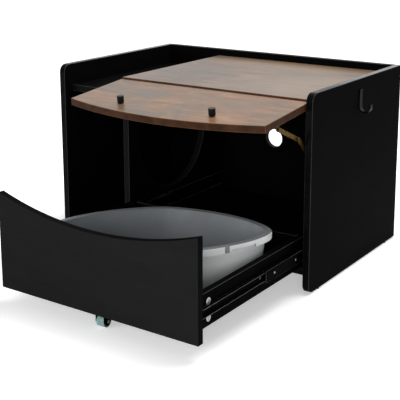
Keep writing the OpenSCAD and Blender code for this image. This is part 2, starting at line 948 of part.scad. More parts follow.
module castor_axle() {
    out = wheel_w / 2 + cheek_gap + cheek_t;
    head_t = 1;
    color(c_zinc) drawn() {
        rod_x([castor_x - out, castor_y, axle_z], axle_r, 2 * out);
        rod_x([castor_x + out, castor_y, axle_z], axle_r + 1.2, head_t);
        rod_x([castor_x - out - head_t, castor_y, axle_z], axle_r + 1.2, head_t);
    }
}

module castor_screws() {
    color(c_zinc) drawn() at_castor_screws() cross_screw(wood_screw_small, castor_screw_len);
}

module castor_wheel() {
    color(c_dark_steel) drawn() difference() {
        rod_x([castor_x - wheel_w / 2, castor_y, axle_z], wheel_d / 2 - tread_t, wheel_w);
        rod_x([castor_x - wheel_w / 2 - over, castor_y, axle_z], axle_r + run_gap,
            wheel_w + 2 * over);
    }
}

module castor_tread() {
    color(c_tread) drawn() translate([castor_x - wheel_w / 2, castor_y, axle_z])
        rotate([0, 90, 0]) difference() {
            cylinder(d = wheel_d, h = wheel_w, $fn = fn_mid);
            translate([0, 0, -over])
                cylinder(r = wheel_d / 2 - tread_t, h = wheel_w + 2 * over, $fn = fn_small);
        }
}

// ---- litter pan ----

// A point of the oval at angle t, for an oval inset by d
function oval_point(t, d) = [
    (pan_a - d) * sign(cos(t)) * pow(abs(cos(t)), 2 / pan_n),
    (pan_b - d) * sign(sin(t)) * pow(abs(sin(t)), 2 / pan_n)];

module oval(d) {
    polygon([for (i = [0 : pan_points - 1]) oval_point(360 * (i + 0.5) / pan_points, d)]);
}

module at_pan() {
    drawn() translate([pan_x, front_y + pan_y, 0]) rotate([0, 0, pan_turn]) children();
}

tray_top = pan_top - pan_t;

module pan_tray() {
    h = tray_top - pan_low;
    color(c_pan) at_pan() translate([0, 0, tray_top]) mirror([0, 0, 1]) difference() {
        linear_extrude(h, scale = pan_taper) oval(wall_inset);
        translate([0, 0, -over]) linear_extrude(h + over - pan_t, scale = pan_taper)
            oval(wall_inset + pan_t);
    }
}

// Angle on the oval of a clip, and of the stretch where the skirt is cut away beside it
clip_at = -46.3;
skirt_cut = [-44, -27];
skirt_cut_h = 7;
clip_h = 14;
clip_in = 4;
clip_out = 1.2;

// Direction in which the oval's edge faces at angle t
function oval_normal(t) = atan2(
    sign(sin(t)) * pow(abs(sin(t)), 2 - 2 / pan_n) / pan_b,
    sign(cos(t)) * pow(abs(cos(t)), 2 - 2 / pan_n) / pan_a);

// The two clips lie opposite each other
module at_clips(gap = 0) {
    p = oval_point(clip_at, 0);
    for (turn = [0, 180]) rotate([0, 0, turn]) translate([p[0], p[1], pan_top - clip_h - gap])
        rotate([0, 0, oval_normal(clip_at)]) translate([-clip_in - gap, -clip_w / 2 - gap, 0])
            cube([clip_in + clip_out + gap, clip_w + 2 * gap, clip_h + gap + (gap > 0 ? over : 0)]);
}

// The wedge of the skirt's lower edge that is cut away
module skirt_cuts() {
    far = 2 * pan_a;
    p = [for (t = skirt_cut) oval_point(t, 0)];
    q = [for (t = skirt_cut) oval_point(t, 3 * pan_t)];
    for (turn = [0, 180]) rotate([0, 0, turn])
        translate([0, 0, pan_top - rim_skirt_h - over]) linear_extrude(skirt_cut_h + over)
            polygon([q[0], p[0] * 1.1, p[1] * 1.1, q[1]]);
}

// The rim's top rests on the tray's wall, and its inner lip reaches down outside that wall
module pan_rim() {
    low = pan_top - rim_skirt_h;
    under = rim_skirt_h + over - pan_t;
    color(c_pan) at_pan() difference() {
        translate([0, 0, low]) linear_extrude(rim_skirt_h) oval(0);
        translate([0, 0, low - over]) linear_extrude(under) difference() {
            oval(pan_t);
            oval(wall_inset - rim_seat_gap - pan_t);
        }
        translate([0, 0, low - over]) linear_extrude(under) oval(wall_inset - rim_seat_gap);
        translate([0, 0, low]) linear_extrude(rim_skirt_h + over) oval(wall_inset + pan_t);
        at_clips(0.1);
        skirt_cuts();
    }
}

module pan_clips() {
    color(c_clip) at_pan() at_clips();
}

// ---- flap ----

module flap_outline() {
    intersection() {
        translate([front_l, 0]) square([front_w, top_z]);
        translate([front_mid, dip_z]) circle(r = dip_r - front_gap, $fn = fn_arc);
    }
}

module at_cups() {
    for (x = hinge_places) translate([x, front_back_y, top_z - cup_drop]) rotate([90, 0, 0])
        children();
}

cup_screw_len = 10;
knob_screw_r = 2;
knob_thread_in = 10;
knob_places = [front_mid - knob_x, front_mid + knob_x];
knob_head_r = 4;
knob_head_h = 2.2;

module at_cup_screws() {
    for (x = hinge_places, s = [-1, 1])
        translate([x + s * cup_screw_x, front_back_y + flange_t, top_z - cup_drop - wing_drop])
            rotate([-90, 0, 0]) children();
}

module at_ear_screws() {
    for (s = [-1, 1])
        translate([ear_x - 8, front_back_y + ear_plate_t, ear_closed[1] + s * 7])
            rotate([-90, 0, 0]) children();
}

ear_plate_t = 1.5;
ear_plate_w = 14;
ear_plate_half = 13;
ear_screw_len = 12;

module flap_panel() {
    color(c_brown) raised() difference() {
        along_y(front_y, board) flap_outline();
        at_cups() translate([0, 0, -over]) cylinder(r = cup_r, h = cup_in + over, $fn = fn_mid);
        at_cup_screws() screw_hole(wood_screw_small, cup_screw_len);
        at_ear_screws() screw_hole(wood_screw_small, ear_screw_len);
        for (x = knob_places) translate([x, front_y - over, top_z - knob_drop]) rotate([-90, 0, 0])
            cylinder(r = knob_screw_r + fit_gap, h = board + 2 * over, $fn = fn_small);
    }
}

module flap_knobs() {
    neck_d = knob_d * 0.8;
    neck_len = 2;
    color(c_black) raised() for (x = knob_places)
        translate([x, front_y, top_z - knob_drop]) rotate([90, 0, 0]) difference() {
            union() {
                cylinder(d = neck_d, h = neck_len, $fn = fn_mid);
                translate([0, 0, neck_len])
                    cylinder(d = knob_d, h = knob_len - neck_len, $fn = fn_mid);
            }
            translate([0, 0, -over])
                cylinder(r = knob_screw_r + fit_gap, h = knob_thread_in + over + 0.5, $fn = fn_small);
        }
}

module knob_screws() {
    color(c_zinc) raised() for (x = knob_places)
        translate([x, front_back_y, top_z - knob_drop]) rotate([90, 0, 0]) {
            cylinder(r = knob_screw_r, h = board + knob_thread_in, $fn = fn_small);
            translate([0, 0, -knob_head_h]) difference() {
                cylinder(r = knob_head_r, h = knob_head_h, $fn = fn_small);
                for (a = [0, 90]) rotate([0, 0, a]) translate([-2.4, -0.3, -over])
                    cube([4.8, 0.6, over + 1]);
            }
        }
}

module hinge_cups() {
    r = cup_r - cup_gap;
    h = cup_in - cup_gap;
    pin_off = cup_drop - pin_drop;
    color(c_zinc) raised() difference() {
        union() {
            at_cups() cylinder(r = r, h = h, $fn = fn_mid);
            at_cups() translate([0, 0, -flange_t]) cylinder(r = flange_r, h = flange_t, $fn = fn_mid);
            at_cups() translate([-wing_half, -wing_drop - wing_h / 2, -flange_t])
                cube([2 * wing_half, wing_h, flange_t]);
        }
        at_cups() translate([0, 0, -flange_t - over])
            cylinder(r = r - cup_wall, h = h + flange_t + over - cup_wall, $fn = fn_mid);
        at_cup_screws() screw_hole(wood_screw_small, cup_screw_len);
        for (x = hinge_places) rod_x([x - pin_half, axis_y, axis_z], pin_r + fit_gap / 2,
            2 * pin_half);
    }
}

pin_half = 12.8;

module hinge_pins() {
    color(c_steel) raised() for (x = hinge_places)
        rod_x([x - pin_half, axis_y, axis_z], pin_r, 2 * pin_half);
}

module hinge_arms() {
    color(c_steel) for (x = hinge_places) difference() {
        union() {
            rod_x([x - arm_w / 2, axis_y, axis_z], eye_r, arm_w);
            block([x - arm_w / 2, axis_y - arm_t / 2, axis_z - arm_drop],
                [x + arm_w / 2, axis_y + arm_t / 2, axis_z]);
            block([x - arm_w / 2, axis_y - arm_t / 2, axis_z - arm_drop],
                [x + arm_w / 2, axis_y + arm_len, axis_z - arm_drop + arm_t]);
        }
        rod_x([x - arm_w, axis_y, axis_z], pin_r + run_gap, 2 * arm_w);
        at_plate_screws() screw_hole(wood_screw_small, plate_screw_len);
    }
}

plate_low_z = axis_z - arm_drop + arm_t;
plate_screw_len = 19;
plate_screw_rows = [12, 34];

module at_plate_screws() {
    for (x = hinge_places, d = plate_screw_rows)
        translate([x, axis_y + plate_y[0] + d, plate_low_z - arm_t]) rotate([180, 0, 0]) children();
}

module hinge_plates() {
    color(c_zinc) for (x = hinge_places) difference() {
        block([x - plate_w / 2, axis_y + plate_y[0], plate_low_z],
            [x + plate_w / 2, axis_y + plate_y[1], top_low]);
        at_plate_screws() screw_hole(wood_screw_small, plate_screw_len);
    }
}

module plate_screws() {
    color(c_zinc) at_plate_screws() cross_screw(wood_screw_small, plate_screw_len);
}

module flap_screws() {
    color(c_zinc) raised() at_cup_screws() cross_screw(wood_screw_small, cup_screw_len);
    color(c_zinc) raised() at_ear_screws() cross_screw(wood_screw_small, ear_screw_len);
}

// ---- stay ----

module bar(a, b, w) {
    d = b - a;
    translate(a) rotate(atan2(d[1], d[0])) {
        circle(d = w, $fn = fn_mid);
        translate([norm(d), 0]) circle(d = w, $fn = fn_mid);
        translate([0, -w / 2]) square([norm(d), w]);
    }
}

module link(x, a, b, hole_a, hole_b) {
    difference() {
        along_x(x, link_t) bar(a, b, link_w);
        rod_x([x - over, a[0], a[1]], hole_a, link_t + 2 * over);
        rod_x([x - over, b[0], b[1]], hole_b, link_t + 2 * over);
    }
}

module stay_bracket() {
    color(c_brass) raised() difference() {
        union() {
            block([ear_x + ear_t - ear_plate_w - ear_t, front_back_y, ear_closed[1] - ear_plate_half],
                [ear_x + ear_t, front_back_y + ear_plate_t, ear_closed[1] + ear_plate_half]);
            along_x(ear_x, ear_t) {
                translate(ear_closed) circle(r = link_r, $fn = fn_mid);
                translate([front_back_y, ear_closed[1] - link_r]) square([ear_off, link_w]);
            }
        }
        at_ear_screws() screw_hole(wood_screw_small, ear_screw_len);
        rod_x([ear_x - over, ear_closed[0], ear_closed[1]], rivet_shank_r + fit_gap,
            ear_t + 2 * over);
    }
}

rivet_head_r = 4;
rivet_head_t = 0.8;
side_gap = 0.3;

// Riveted in the bracket, with the upper link turning on it
module stay_upper_rivet() {
    x = upper_link_x + link_t + side_gap;
    color(c_brass) {
        rod_x([ear_x - rivet_head_t, ear_p[0], ear_p[1]], rivet_head_r, rivet_head_t);
        rod_x([ear_x, ear_p[0], ear_p[1]], rivet_shank_r, x - ear_x);
        rod_x([x, ear_p[0], ear_p[1]], rivet_head_r, lower_link_x - side_gap - x);
    }
}

module stay_upper_link() {
    r = rivet_shank_r + run_gap;
    color(c_brass) link(upper_link_x, ear_p, elbow_p, r, r);
}

// The upper link's half of the elbow's rivet
module stay_upper_button() {
    color(c_brass) {
        rod_x([upper_link_x - rivet_head_t, elbow_p[0], elbow_p[1]], rivet_head_r, rivet_head_t);
        rod_x([upper_link_x, elbow_p[0], elbow_p[1]], rivet_shank_r, link_t);
    }
}

module stay_lower_link() {
    r = rivet_shank_r + run_gap;
    color(c_brass) link(lower_link_x, post_p, elbow_p, r, r);
}

// The lower link's half of the elbow's rivet, which the photographed side shows
module stay_elbow_rivet() {
    color(c_brass) {
        rod_x([lower_link_x - rivet_head_t, elbow_p[0], elbow_p[1]], rivet_head_r, rivet_head_t);
        rod_x([lower_link_x, elbow_p[0], elbow_p[1]], rivet_shank_r, link_t);
        rod_x([lower_link_x + link_t, elbow_p[0], elbow_p[1]], rivet_head_r, rivet_head_t);
    }
}

post_thread_r = 2;
post_thread_len = 12;
post_collar_r = 4;

// Shoulder screw in the right side panel, which the lower link turns on
module stay_post() {
    collar_x = lower_link_x + link_t + side_gap;
    head_x = lower_link_x - side_gap;
    color(c_zinc) {
        rod_x([in_r, post_p[0], post_p[1]], post_thread_r, post_thread_len);
        rod_x([collar_x, post_p[0], post_p[1]], post_collar_r, in_r - collar_x);
        rod_x([head_x, post_p[0], post_p[1]], rivet_shank_r, collar_x - head_x);
        rod_x([head_x - rivet_head_t, post_p[0], post_p[1]], rivet_head_r, rivet_head_t);
    }
}

left_side_panel();
right_side_panel();
back_panel();
partition_panel();
bottom_panel();
top_panel();
tray_shelf();
panel_cams();
panel_cam_bolts();
partition_dowels();
partition_screws();
back_screws();
glides();
towel_hook();
hook_screws();
slide_outer_left();
slide_outer_right();
slide_outer_screws();
outer_ball_race_left();
outer_ball_race_right();
slide_middle_left();
slide_middle_right();
inner_ball_race_left();
inner_ball_race_right();
slide_inner_left();
slide_inner_right();
slide_inner_screws();
drawer_front();
drawer_left_side();
drawer_right_side();
drawer_back();
drawer_base();
drawer_cams();
drawer_cam_bolts();
drawer_back_screws();
castor_bracket();
castor_axle();
castor_screws();
castor_wheel();
castor_tread();
pan_tray();
pan_rim();
pan_clips();
flap_panel();
flap_knobs();
knob_screws();
hinge_cups();
hinge_pins();
hinge_arms();
hinge_plates();
plate_screws();
flap_screws();
stay_bracket();
stay_upper_rivet();
stay_upper_link();
stay_upper_button();
stay_lower_link();
stay_elbow_rivet();
stay_post();
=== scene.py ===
"""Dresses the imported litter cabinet, and sets up its floor, lights and camera.

Lengths are in metres, in the frame of the CAD model: X to the right, Y to the back, Z up, with
the origin on the floor in the middle of the cabinet.
"""
import logging
import math
from dataclasses import dataclass, field
from enum import Enum, IntEnum

import bmesh
import bpy
from mathutils import Matrix, Vector


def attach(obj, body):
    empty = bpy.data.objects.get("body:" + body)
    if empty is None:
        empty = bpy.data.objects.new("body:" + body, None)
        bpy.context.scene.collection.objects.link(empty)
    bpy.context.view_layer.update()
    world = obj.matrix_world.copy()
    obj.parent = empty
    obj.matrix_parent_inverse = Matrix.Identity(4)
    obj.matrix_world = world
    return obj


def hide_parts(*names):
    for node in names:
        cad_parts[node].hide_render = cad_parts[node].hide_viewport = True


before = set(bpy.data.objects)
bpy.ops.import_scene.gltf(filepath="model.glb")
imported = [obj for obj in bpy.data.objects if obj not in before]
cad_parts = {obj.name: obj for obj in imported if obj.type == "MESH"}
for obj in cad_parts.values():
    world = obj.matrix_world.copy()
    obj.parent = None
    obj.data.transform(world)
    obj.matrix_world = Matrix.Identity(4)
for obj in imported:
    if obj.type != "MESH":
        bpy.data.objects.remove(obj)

LOG = logging.getLogger("litter_cabinet")
MM = 0.001
WELD_DISTANCE = 0.002 * MM
FLAT_ANGLE = math.radians(0.3)
SHARP_ANGLE = math.radians(35)
SMOOTH_ANGLE = math.radians(50)
NORMAL_WEIGHT = 80
ROUNDING_STEPS = 2
RIVET_SIZE = 8 * MM
FACE_ON = 0.97
NOISE_LOW, NOISE_HIGH = 0.3, 0.7

Tone = tuple[float, float, float]
Triple = tuple[float, float, float]
Socket = bpy.types.NodeSocket


def tone(red: int, green: int, blue: int) -> Tone:
    """Turns a screen colour into the shaders' linear one.

    Args:
        red: Red from 0 to 255.
        green: Green from 0 to 255.
        blue: Blue from 0 to 255.

    Returns:
        The linear colour.
    """
    return tuple(((c / 255 + 0.055) / 1.055) ** 2.4 if c > 10 else c / 255 / 12.92
                 for c in (red, green, blue))


def neutral(level: int) -> Tone:
    """Gives the linear colour of a screen grey."""
    return tone(level, level, level)


def mm(*lengths: float) -> Vector:
    """Gives a point in metres from one in millimetres."""
    return Vector(lengths) * MM


class Along(Enum):
    """Direction of a printed or brushed grain."""

    WIDTH = 0
    DEPTH = 1
    HEIGHT = 2


class BoardSlot(IntEnum):
    """Material slots of a coated board."""

    FACE = 0
    EDGE = 1
    # LINE holds the edging's rounding, on most boards a lighter copy as a painted highlight.
    LINE = 2


class MetalSlot(IntEnum):
    """Material slots of a sheet or turned piece."""

    SKIN = 0
    EDGE = 1
    RIVET = 2


KEEP_SLOT = -1


class Shade:
    """A procedural material while its nodes are being joined up.

    Args:
        name: The material's name.
    """

    def __init__(self, name: str) -> None:
        """Starts a material with its surface shader and object coordinates."""
        self.material = bpy.data.materials.new(name)
        self.material.use_nodes = True
        tree = self.material.node_tree
        self.nodes, self.links = tree.nodes, tree.links
        self.surface = tree.nodes["Principled BSDF"]
        self.place = self.nodes.new("ShaderNodeTexCoord").outputs["Object"]

    def fixed(self, **values: float) -> None:
        """Sets sockets of the surface that are the same all over."""
        for name, value in values.items():
            socket = name.replace("_", " ").title().replace("Ior", "IOR")
            self.surface.inputs[socket].default_value = value

    def stretched(self, along: Along, scale: float, ratio: float,
                  shift: Triple = (0, 0, 0)) -> Socket:
        """Gives coordinates that stretch a pattern along a direction.

        Args:
            along: The direction of the grain.
            scale: Cells per metre across the grain.
            ratio: How many times longer than wide a cell is.
            shift: Move of the pattern, in cells.

        Returns:
            The vector socket.
        """
        node = self.nodes.new("ShaderNodeMapping")
        self.links.new(self.place, node.inputs["Vector"])
        scales = [scale] * 3
        scales[along.value] = scale / ratio
        node.inputs["Scale"].default_value = scales
        node.inputs["Location"].default_value = shift
        return node.outputs["Vector"]

    def noise(self, vector: Socket | None, scale: float = 1, detail: float = 3,
              rough: float = 0.5, twist: float = 0) -> Socket:
        """Adds a noise pattern.

        Args:
            vector: Coordinates, or None for plain object coordinates.
            scale: Cells per unit of the coordinates.
            detail: Number of finer layers.
            rough: Strength of the finer layers.
            twist: Distortion of the pattern.

        Returns:
            The factor socket.
        """
        node = self.nodes.new("ShaderNodeTexNoise")
        self.links.new(vector or self.place, node.inputs["Vector"])
        for name, value in (("Scale", scale), ("Detail", detail), ("Roughness", rough),
                            ("Distortion", twist)):
            node.inputs[name].default_value = value
        return node.outputs["Fac"]

    def cells(self, vector: Socket | None, scale: float = 1) -> Socket:
        """Adds a pattern of distances to scattered points."""
        node = self.nodes.new("ShaderNodeTexVoronoi")
        self.links.new(vector or self.place, node.inputs["Vector"])
        node.inputs["Scale"].default_value = scale
        return node.outputs["Distance"]

    def ramp(self, factor: Socket, *stops: tuple[float, Tone]) -> Socket:
        """Colours a factor.

        Args:
            factor: The factor socket.
            stops: Places from 0 to 1 with their colours.

        Returns:
            The colour socket.
        """
        node = self.nodes.new("ShaderNodeValToRGB")
        self.links.new(factor, node.inputs["Fac"])
        points = node.color_ramp.elements
        while len(points) < len(stops):
            points.new(1)
        for point, (where, colour) in zip(points, stops):
            point.position = where
            point.color = (*colour, 1)
        return node.outputs["Color"]

    def span(self, factor: Socket, low: float, high: float, to_low: float = 0,
             to_high: float = 1) -> Socket:
        """Maps a factor between two limits onto two others, and clamps it."""
        node = self.nodes.new("ShaderNodeMapRange")
        self.links.new(factor, node.inputs["Value"])
        for name, value in (("From Min", low), ("From Max", high), ("To Min", to_low),
                            ("To Max", to_high)):
            node.inputs[name].default_value = value
        return node.outputs["Result"]

    def even(self, noise: Socket, share: float = 1) -> Socket:
        """Spreads a noise pattern over 0 to a share."""
        return self.span(noise, NOISE_LOW, NOISE_HIGH, 0, share)

    def blend(self, factor: Socket, low: Socket | Tone, high: Socket | Tone,
              kind: str = "MIX") -> Socket:
        """Mixes two colours.

        Args:
            factor: The factor socket.
            low: Colour at factor 0.
            high: Colour at factor 1.
            kind: Blender's name of the way of mixing.

        Returns:
            The colour socket.
        """
        node = self.nodes.new("ShaderNodeMix")
        node.data_type, node.blend_type = "RGBA", kind
        self.links.new(factor, node.inputs["Factor"])
        for slot, colour in ((6, low), (7, high)):
            if isinstance(colour, Socket):
                self.links.new(colour, node.inputs[slot])
            else:
                node.inputs[slot].default_value = (*colour, 1)
        return node.outputs[2]

    def sum(self, first: Socket, second: Socket, share: float) -> Socket:
        """Adds a share of the second factor to the first."""
        node = self.nodes.new("ShaderNodeMath")
        node.operation = "MULTIPLY_ADD"
        self.links.new(second, node.inputs[0])
        node.inputs[1].default_value = share
        self.links.new(first, node.inputs[2])
        return node.outputs[0]

    def times(self, first: Socket, second: Socket) -> Socket:
        """Multiplies two factors."""
        node = self.nodes.new("ShaderNodeMath")
        node.operation = "MULTIPLY"
        self.links.new(first, node.inputs[0])
        self.links.new(second, node.inputs[1])
        return node.outputs[0]

    def distance(self, centre: Vector, stretch: Triple) -> Socket:
        """Gives the distance from a point, with each axis divided by its stretch."""
        move = self.nodes.new("ShaderNodeVectorMath")
        move.operation = "SUBTRACT"
        self.links.new(self.place, move.inputs[0])
        move.inputs[1].default_value = centre
        squeeze = self.nodes.new("ShaderNodeVectorMath")
        squeeze.operation = "DIVIDE"
        self.links.new(move.outputs[0], squeeze.inputs[0])
        squeeze.inputs[1].default_value = stretch
        length = self.nodes.new("ShaderNodeVectorMath")
        length.operation = "LENGTH"
        self.links.new(squeeze.outputs[0], length.inputs[0])
        return length.outputs["Value"]

    def paint(self, colour: Socket) -> None:
        """Joins a colour to the surface."""
        self.links.new(colour, self.surface.inputs["Base Color"])

    def gloss(self, factor: Socket, low: float, high: float) -> None:
        """Joins a factor to the surface's roughness, between two values."""
        rough = self.span(factor, NOISE_LOW, NOISE_HIGH, low, high)
        self.links.new(rough, self.surface.inputs["Roughness"])

    def relief(self, height: Socket, depth: float, strength: float = 0.5) -> None:
        """Joins a height pattern to the surface's bump.

        Args:
            height: The height's factor socket.
            depth: Height of the relief in metres.
            strength: Share of it that shows.
        """
        node = self.nodes.new("ShaderNodeBump")
        self.links.new(height, node.inputs["Height"])
        node.inputs["Distance"].default_value = depth
        node.inputs["Strength"].default_value = strength
        self.links.new(node.outputs["Normal"], self.surface.inputs["Normal"])


@dataclass(frozen=True)
class BlackLaminate:
    """Black board with a faint printed grain.

    Args:
        name: The material's name.
        along: Direction of the grain.
        dark: Colour of the ground.
        light: Colour of the grain's light lines.
        specular: Strength of the reflections.
        rough: Roughness of the smooth parts.
    """

    name: str
    along: Along
    dark: Tone = neutral(6)
    light: Tone = neutral(11)
    specular: float = 0.01
    rough: float = 0.5

    def material(self) -> bpy.types.Material:
        """Makes the material."""
        shade = Shade(self.name)
        grain = shade.noise(shade.stretched(self.along, 260, 22), detail=4, rough=0.6)
        cloud = shade.noise(shade.stretched(self.along, 9, 4), detail=3)
        both = shade.sum(shade.even(cloud, 0.5), shade.span(grain, 0.35, 0.7), 0.5)
        shade.paint(shade.ramp(both, (0.1, self.dark), (0.9, self.light)))
        shade.gloss(grain, self.rough, self.rough + 0.12)
        shade.fixed(specular_ior_level=self.specular)
        shade.relief(grain, 0.05 * MM, 0.25)
        return shade.material


@dataclass(frozen=True)
class EdgeBand:
    """Plastic edging with fine lines along it.

    Args:
        name: The material's name.
        dark: Colour of the lines.
        light: Colour of the ground.
        rough: Roughness of the edging.
        specular: Strength of the reflections.
        shine: Strength of the reflections on the upper edging's rear half.
        shine_centre: Point round which it shines.
        shine_stretch: Reach of the shine along each axis.
        shine_near: Stretched distance where it starts to fade.
        shine_far: Distance where it ends.
    """

    name: str
    dark: Tone
    light: Tone
    rough: float = 0.34
    specular: float = 0.12
    shine: float = 0
    shine_centre: Vector = field(default_factory=lambda: mm(0, 300, 453))
    shine_stretch: Triple = (1e6, 1, 0.1)
    shine_near: float = 0.18
    shine_far: float = 0.42

    def material(self) -> bpy.types.Material:
        """Makes the material."""
        shade = Shade(self.name)
        lines = shade.noise(None, 900, detail=2)
        patches = shade.noise(None, 35, detail=4, rough=0.6, twist=0.6)
        both = shade.sum(shade.even(patches, 0.75), shade.even(lines), 0.25)
        shade.paint(shade.ramp(both, (0.05, self.dark), (0.95, self.light)))
        shade.gloss(patches, self.rough, self.rough + 0.15)
        shade.fixed(specular_ior_level=self.specular)
        if self.shine:
            away = shade.distance(self.shine_centre, self.shine_stretch)
            level = shade.span(away, self.shine_near, self.shine_far, self.shine, self.specular)
            shade.links.new(level, shade.surface.inputs["Specular IOR Level"])
        shade.relief(lines, 0.04 * MM, 0.3)
        return shade.material


@dataclass(frozen=True)
class SheenShadeCloud:
    """A cloud of another colour laid on the brown print: painted sheen where it is lighter, painted shade where it is
    darker.

    Args:
        centre: Its middle, in metres.
        stretch: Its half size along each axis.
        colour: Its colour.
        strength: How much of it shows.
    """

    centre: Vector
    stretch: Triple
    colour: Tone
    strength: float


@dataclass(frozen=True)
class RusticLaminate:
    """Brown board with the print of weathered planks.

    Args:
        name: The material's name.
        sheen_and_shade: Clouds at given places: painted sheen and painted shade.
        dark: Colour of the darkest grain.
        ground: Main colour.
        light: Colour of the lightest grain.
        grey: Colour of the weathered patches.
        rust: Colour of the warm patches.
        shift: Move of the patterns, in cells.
    """

    name: str
    sheen_and_shade: tuple[SheenShadeCloud, ...] = ()
    dark: Tone = tone(56, 40, 28)
    ground: Tone = tone(102, 80, 60)
    light: Tone = tone(136, 108, 82)
    grey: Tone = tone(86, 78, 68)
    rust: Tone = tone(134, 88, 58)
    shift: Triple = (0, 0, 0)

    def material(self) -> bpy.types.Material:
        """Makes the material."""
        shade = Shade(self.name)
        along = Along.WIDTH
        grain = shade.noise(shade.stretched(along, 150, 7, self.shift),
                            detail=8, rough=0.66, twist=0.4)
        streaks = shade.noise(shade.stretched(along, 34, 3.5, self.shift),
                              detail=7, rough=0.62, twist=0.8)
        clouds = shade.noise(shade.stretched(along, 9, 1.5, self.shift),
                             detail=8, rough=0.66, twist=0.6)
        warm = shade.noise(shade.stretched(along, 15, 1.8, (7, 3, 1)),
                           detail=8, rough=0.68, twist=0.5)
        pores = shade.noise(shade.stretched(along, 700, 30), detail=2)
        both = shade.sum(shade.even(streaks, 0.6), shade.even(grain), 0.4)
        wood = shade.ramp(both, (0.05, self.dark), (0.42, self.ground), (0.95, self.light))
        wood = shade.blend(shade.span(warm, 0.48, 0.66, 0, 0.45), wood, self.rust)
        wood = shade.blend(shade.span(clouds, 0.44, 0.62, 0, 0.75), wood, self.grey)
        # Each cloud lays painted sheen, where lighter, and painted shade, where darker, at its place on the board.
        for cloud in self.sheen_and_shade:
            edge = shade.sum(shade.distance(cloud.centre, cloud.stretch), both, 1.4)
            mask = shade.span(edge, 1.1, 1.75, cloud.strength, 0)
            wood = shade.blend(mask, wood, cloud.colour)
        cells = shade.cells(shade.stretched(along, 5.5, 1.8, (3, 1, 2)))
        wood = shade.blend(shade.span(cells, 0.03, 0.16, 0.5, 0), wood, self.dark)
        wood = shade.blend(shade.span(pores, 0.62, 0.8, 0, 0.35), wood, self.dark)
        shade.paint(wood)
        shade.gloss(grain, 0.34, 0.46)
        shade.fixed(specular_ior_level=0.4, coat_weight=0.2, coat_roughness=0.25)
        shade.relief(shade.sum(grain, pores, -0.6), 0.06 * MM, 0.3)
        return shade.material


@dataclass(frozen=True)
class PlatedMetal:
    """Plated sheet or turned metal with brush marks and stains.

    Args:
        name: The material's name.
        dark: Colour of the stains.
        light: Colour of the clean plating.
        rough: Roughness of the clean plating.
        stain: Stains per metre.
    """

    name: str
    dark: Tone
    light: Tone
    rough: float = 0.3
    stain: float = 90

    def material(self) -> bpy.types.Material:
        """Makes the material."""
        shade = Shade(self.name)
        stains = shade.noise(None, self.stain, detail=5, rough=0.6, twist=0.8)
        marks = shade.noise(shade.stretched(Along.DEPTH, 2500, 25), detail=2)
        shade.paint(shade.ramp(shade.sum(shade.even(stains, 0.85), marks, 0.15),
                               (0.15, self.dark), (0.85, self.light)))
        shade.gloss(stains, self.rough + 0.18, self.rough)
        shade.fixed(metallic=1)
        shade.relief(marks, 0.01 * MM, 0.3)
        return shade.material


@dataclass(frozen=True)
class CoatedMetal:
    """Sheet metal under a black coat, with a slight orange-peel skin and rubbed spots.

    Args:
        name: The material's name.
        coat: Colour of the coat.
        rubbed: Colour of the rubbed spots.
        rough: Roughness of the coat.
        specular: Strength of the reflections.
    """

    name: str
    coat: Tone = neutral(2)
    rubbed: Tone = neutral(8)
    rough: float = 0.4
    specular: float = 0.01

    def material(self) -> bpy.types.Material:
        """Makes the material."""
        shade = Shade(self.name)
        peel = shade.noise(None, 1400, detail=2)
        wear = shade.noise(shade.stretched(Along.DEPTH, 220, 12), detail=5, rough=0.65)
        shade.paint(shade.blend(shade.span(wear, 0.56, 0.72, 0, 0.8), self.coat, self.rubbed))
        shade.gloss(wear, self.rough, self.rough + 0.14)
        shade.fixed(specular_ior_level=self.specular)
        shade.relief(peel, 0.02 * MM, 0.35)
        return shade.material


@dataclass(frozen=True)
class MouldedPlastic:
    """Injection moulded plastic with a fine spark texture and faint flow marks.

    Args:
        name: The material's name.
        dark: Colour of the flow marks.
        light: Colour of the ground.
        rough: Roughness of the skin.
        texture: Bumps per metre.
        glow: Share of the light that spreads under the skin.
    """

    name: str
    dark: Tone
    light: Tone
    rough: float = 0.45
    texture: float = 1500
    glow: float = 0

    def material(self) -> bpy.types.Material:
        """Makes the material."""
        shade = Shade(self.name)
        sparks = shade.noise(None, self.texture, detail=2, rough=0.6)
        flow = shade.noise(None, 7, detail=4, rough=0.5, twist=1.2)
        scuffs = shade.noise(shade.stretched(Along.WIDTH, 300, 14), detail=5, rough=0.7)
        body = shade.ramp(flow, (0.3, self.dark), (0.7, self.light))
        shade.paint(shade.blend(shade.span(scuffs, 0.62, 0.8, 0, 0.3), body, self.light))
        shade.gloss(scuffs, self.rough, self.rough + 0.12)
        shade.fixed(specular_ior_level=0.45, subsurface_weight=self.glow,
                    subsurface_scale=2 * MM)
        shade.relief(sparks, 0.03 * MM, 0.3)
        return shade.material


@dataclass(frozen=True)
class Beech:
    """Plain pale wood with short flecks.

    Args:
        name: The material's name.
    """

    name: str = "beech_dowel_wood"

    def material(self) -> bpy.types.Material:
        """Makes the material."""
        shade = Shade(self.name)
        flecks = shade.noise(shade.stretched(Along.HEIGHT, 900, 14), detail=3)
        shade.paint(shade.ramp(flecks, (0.3, tone(150, 112, 74)), (0.7, tone(206, 170, 126))))
        shade.gloss(flecks, 0.55, 0.7)
        shade.relief(flecks, 0.05 * MM, 0.4)
        return shade.material


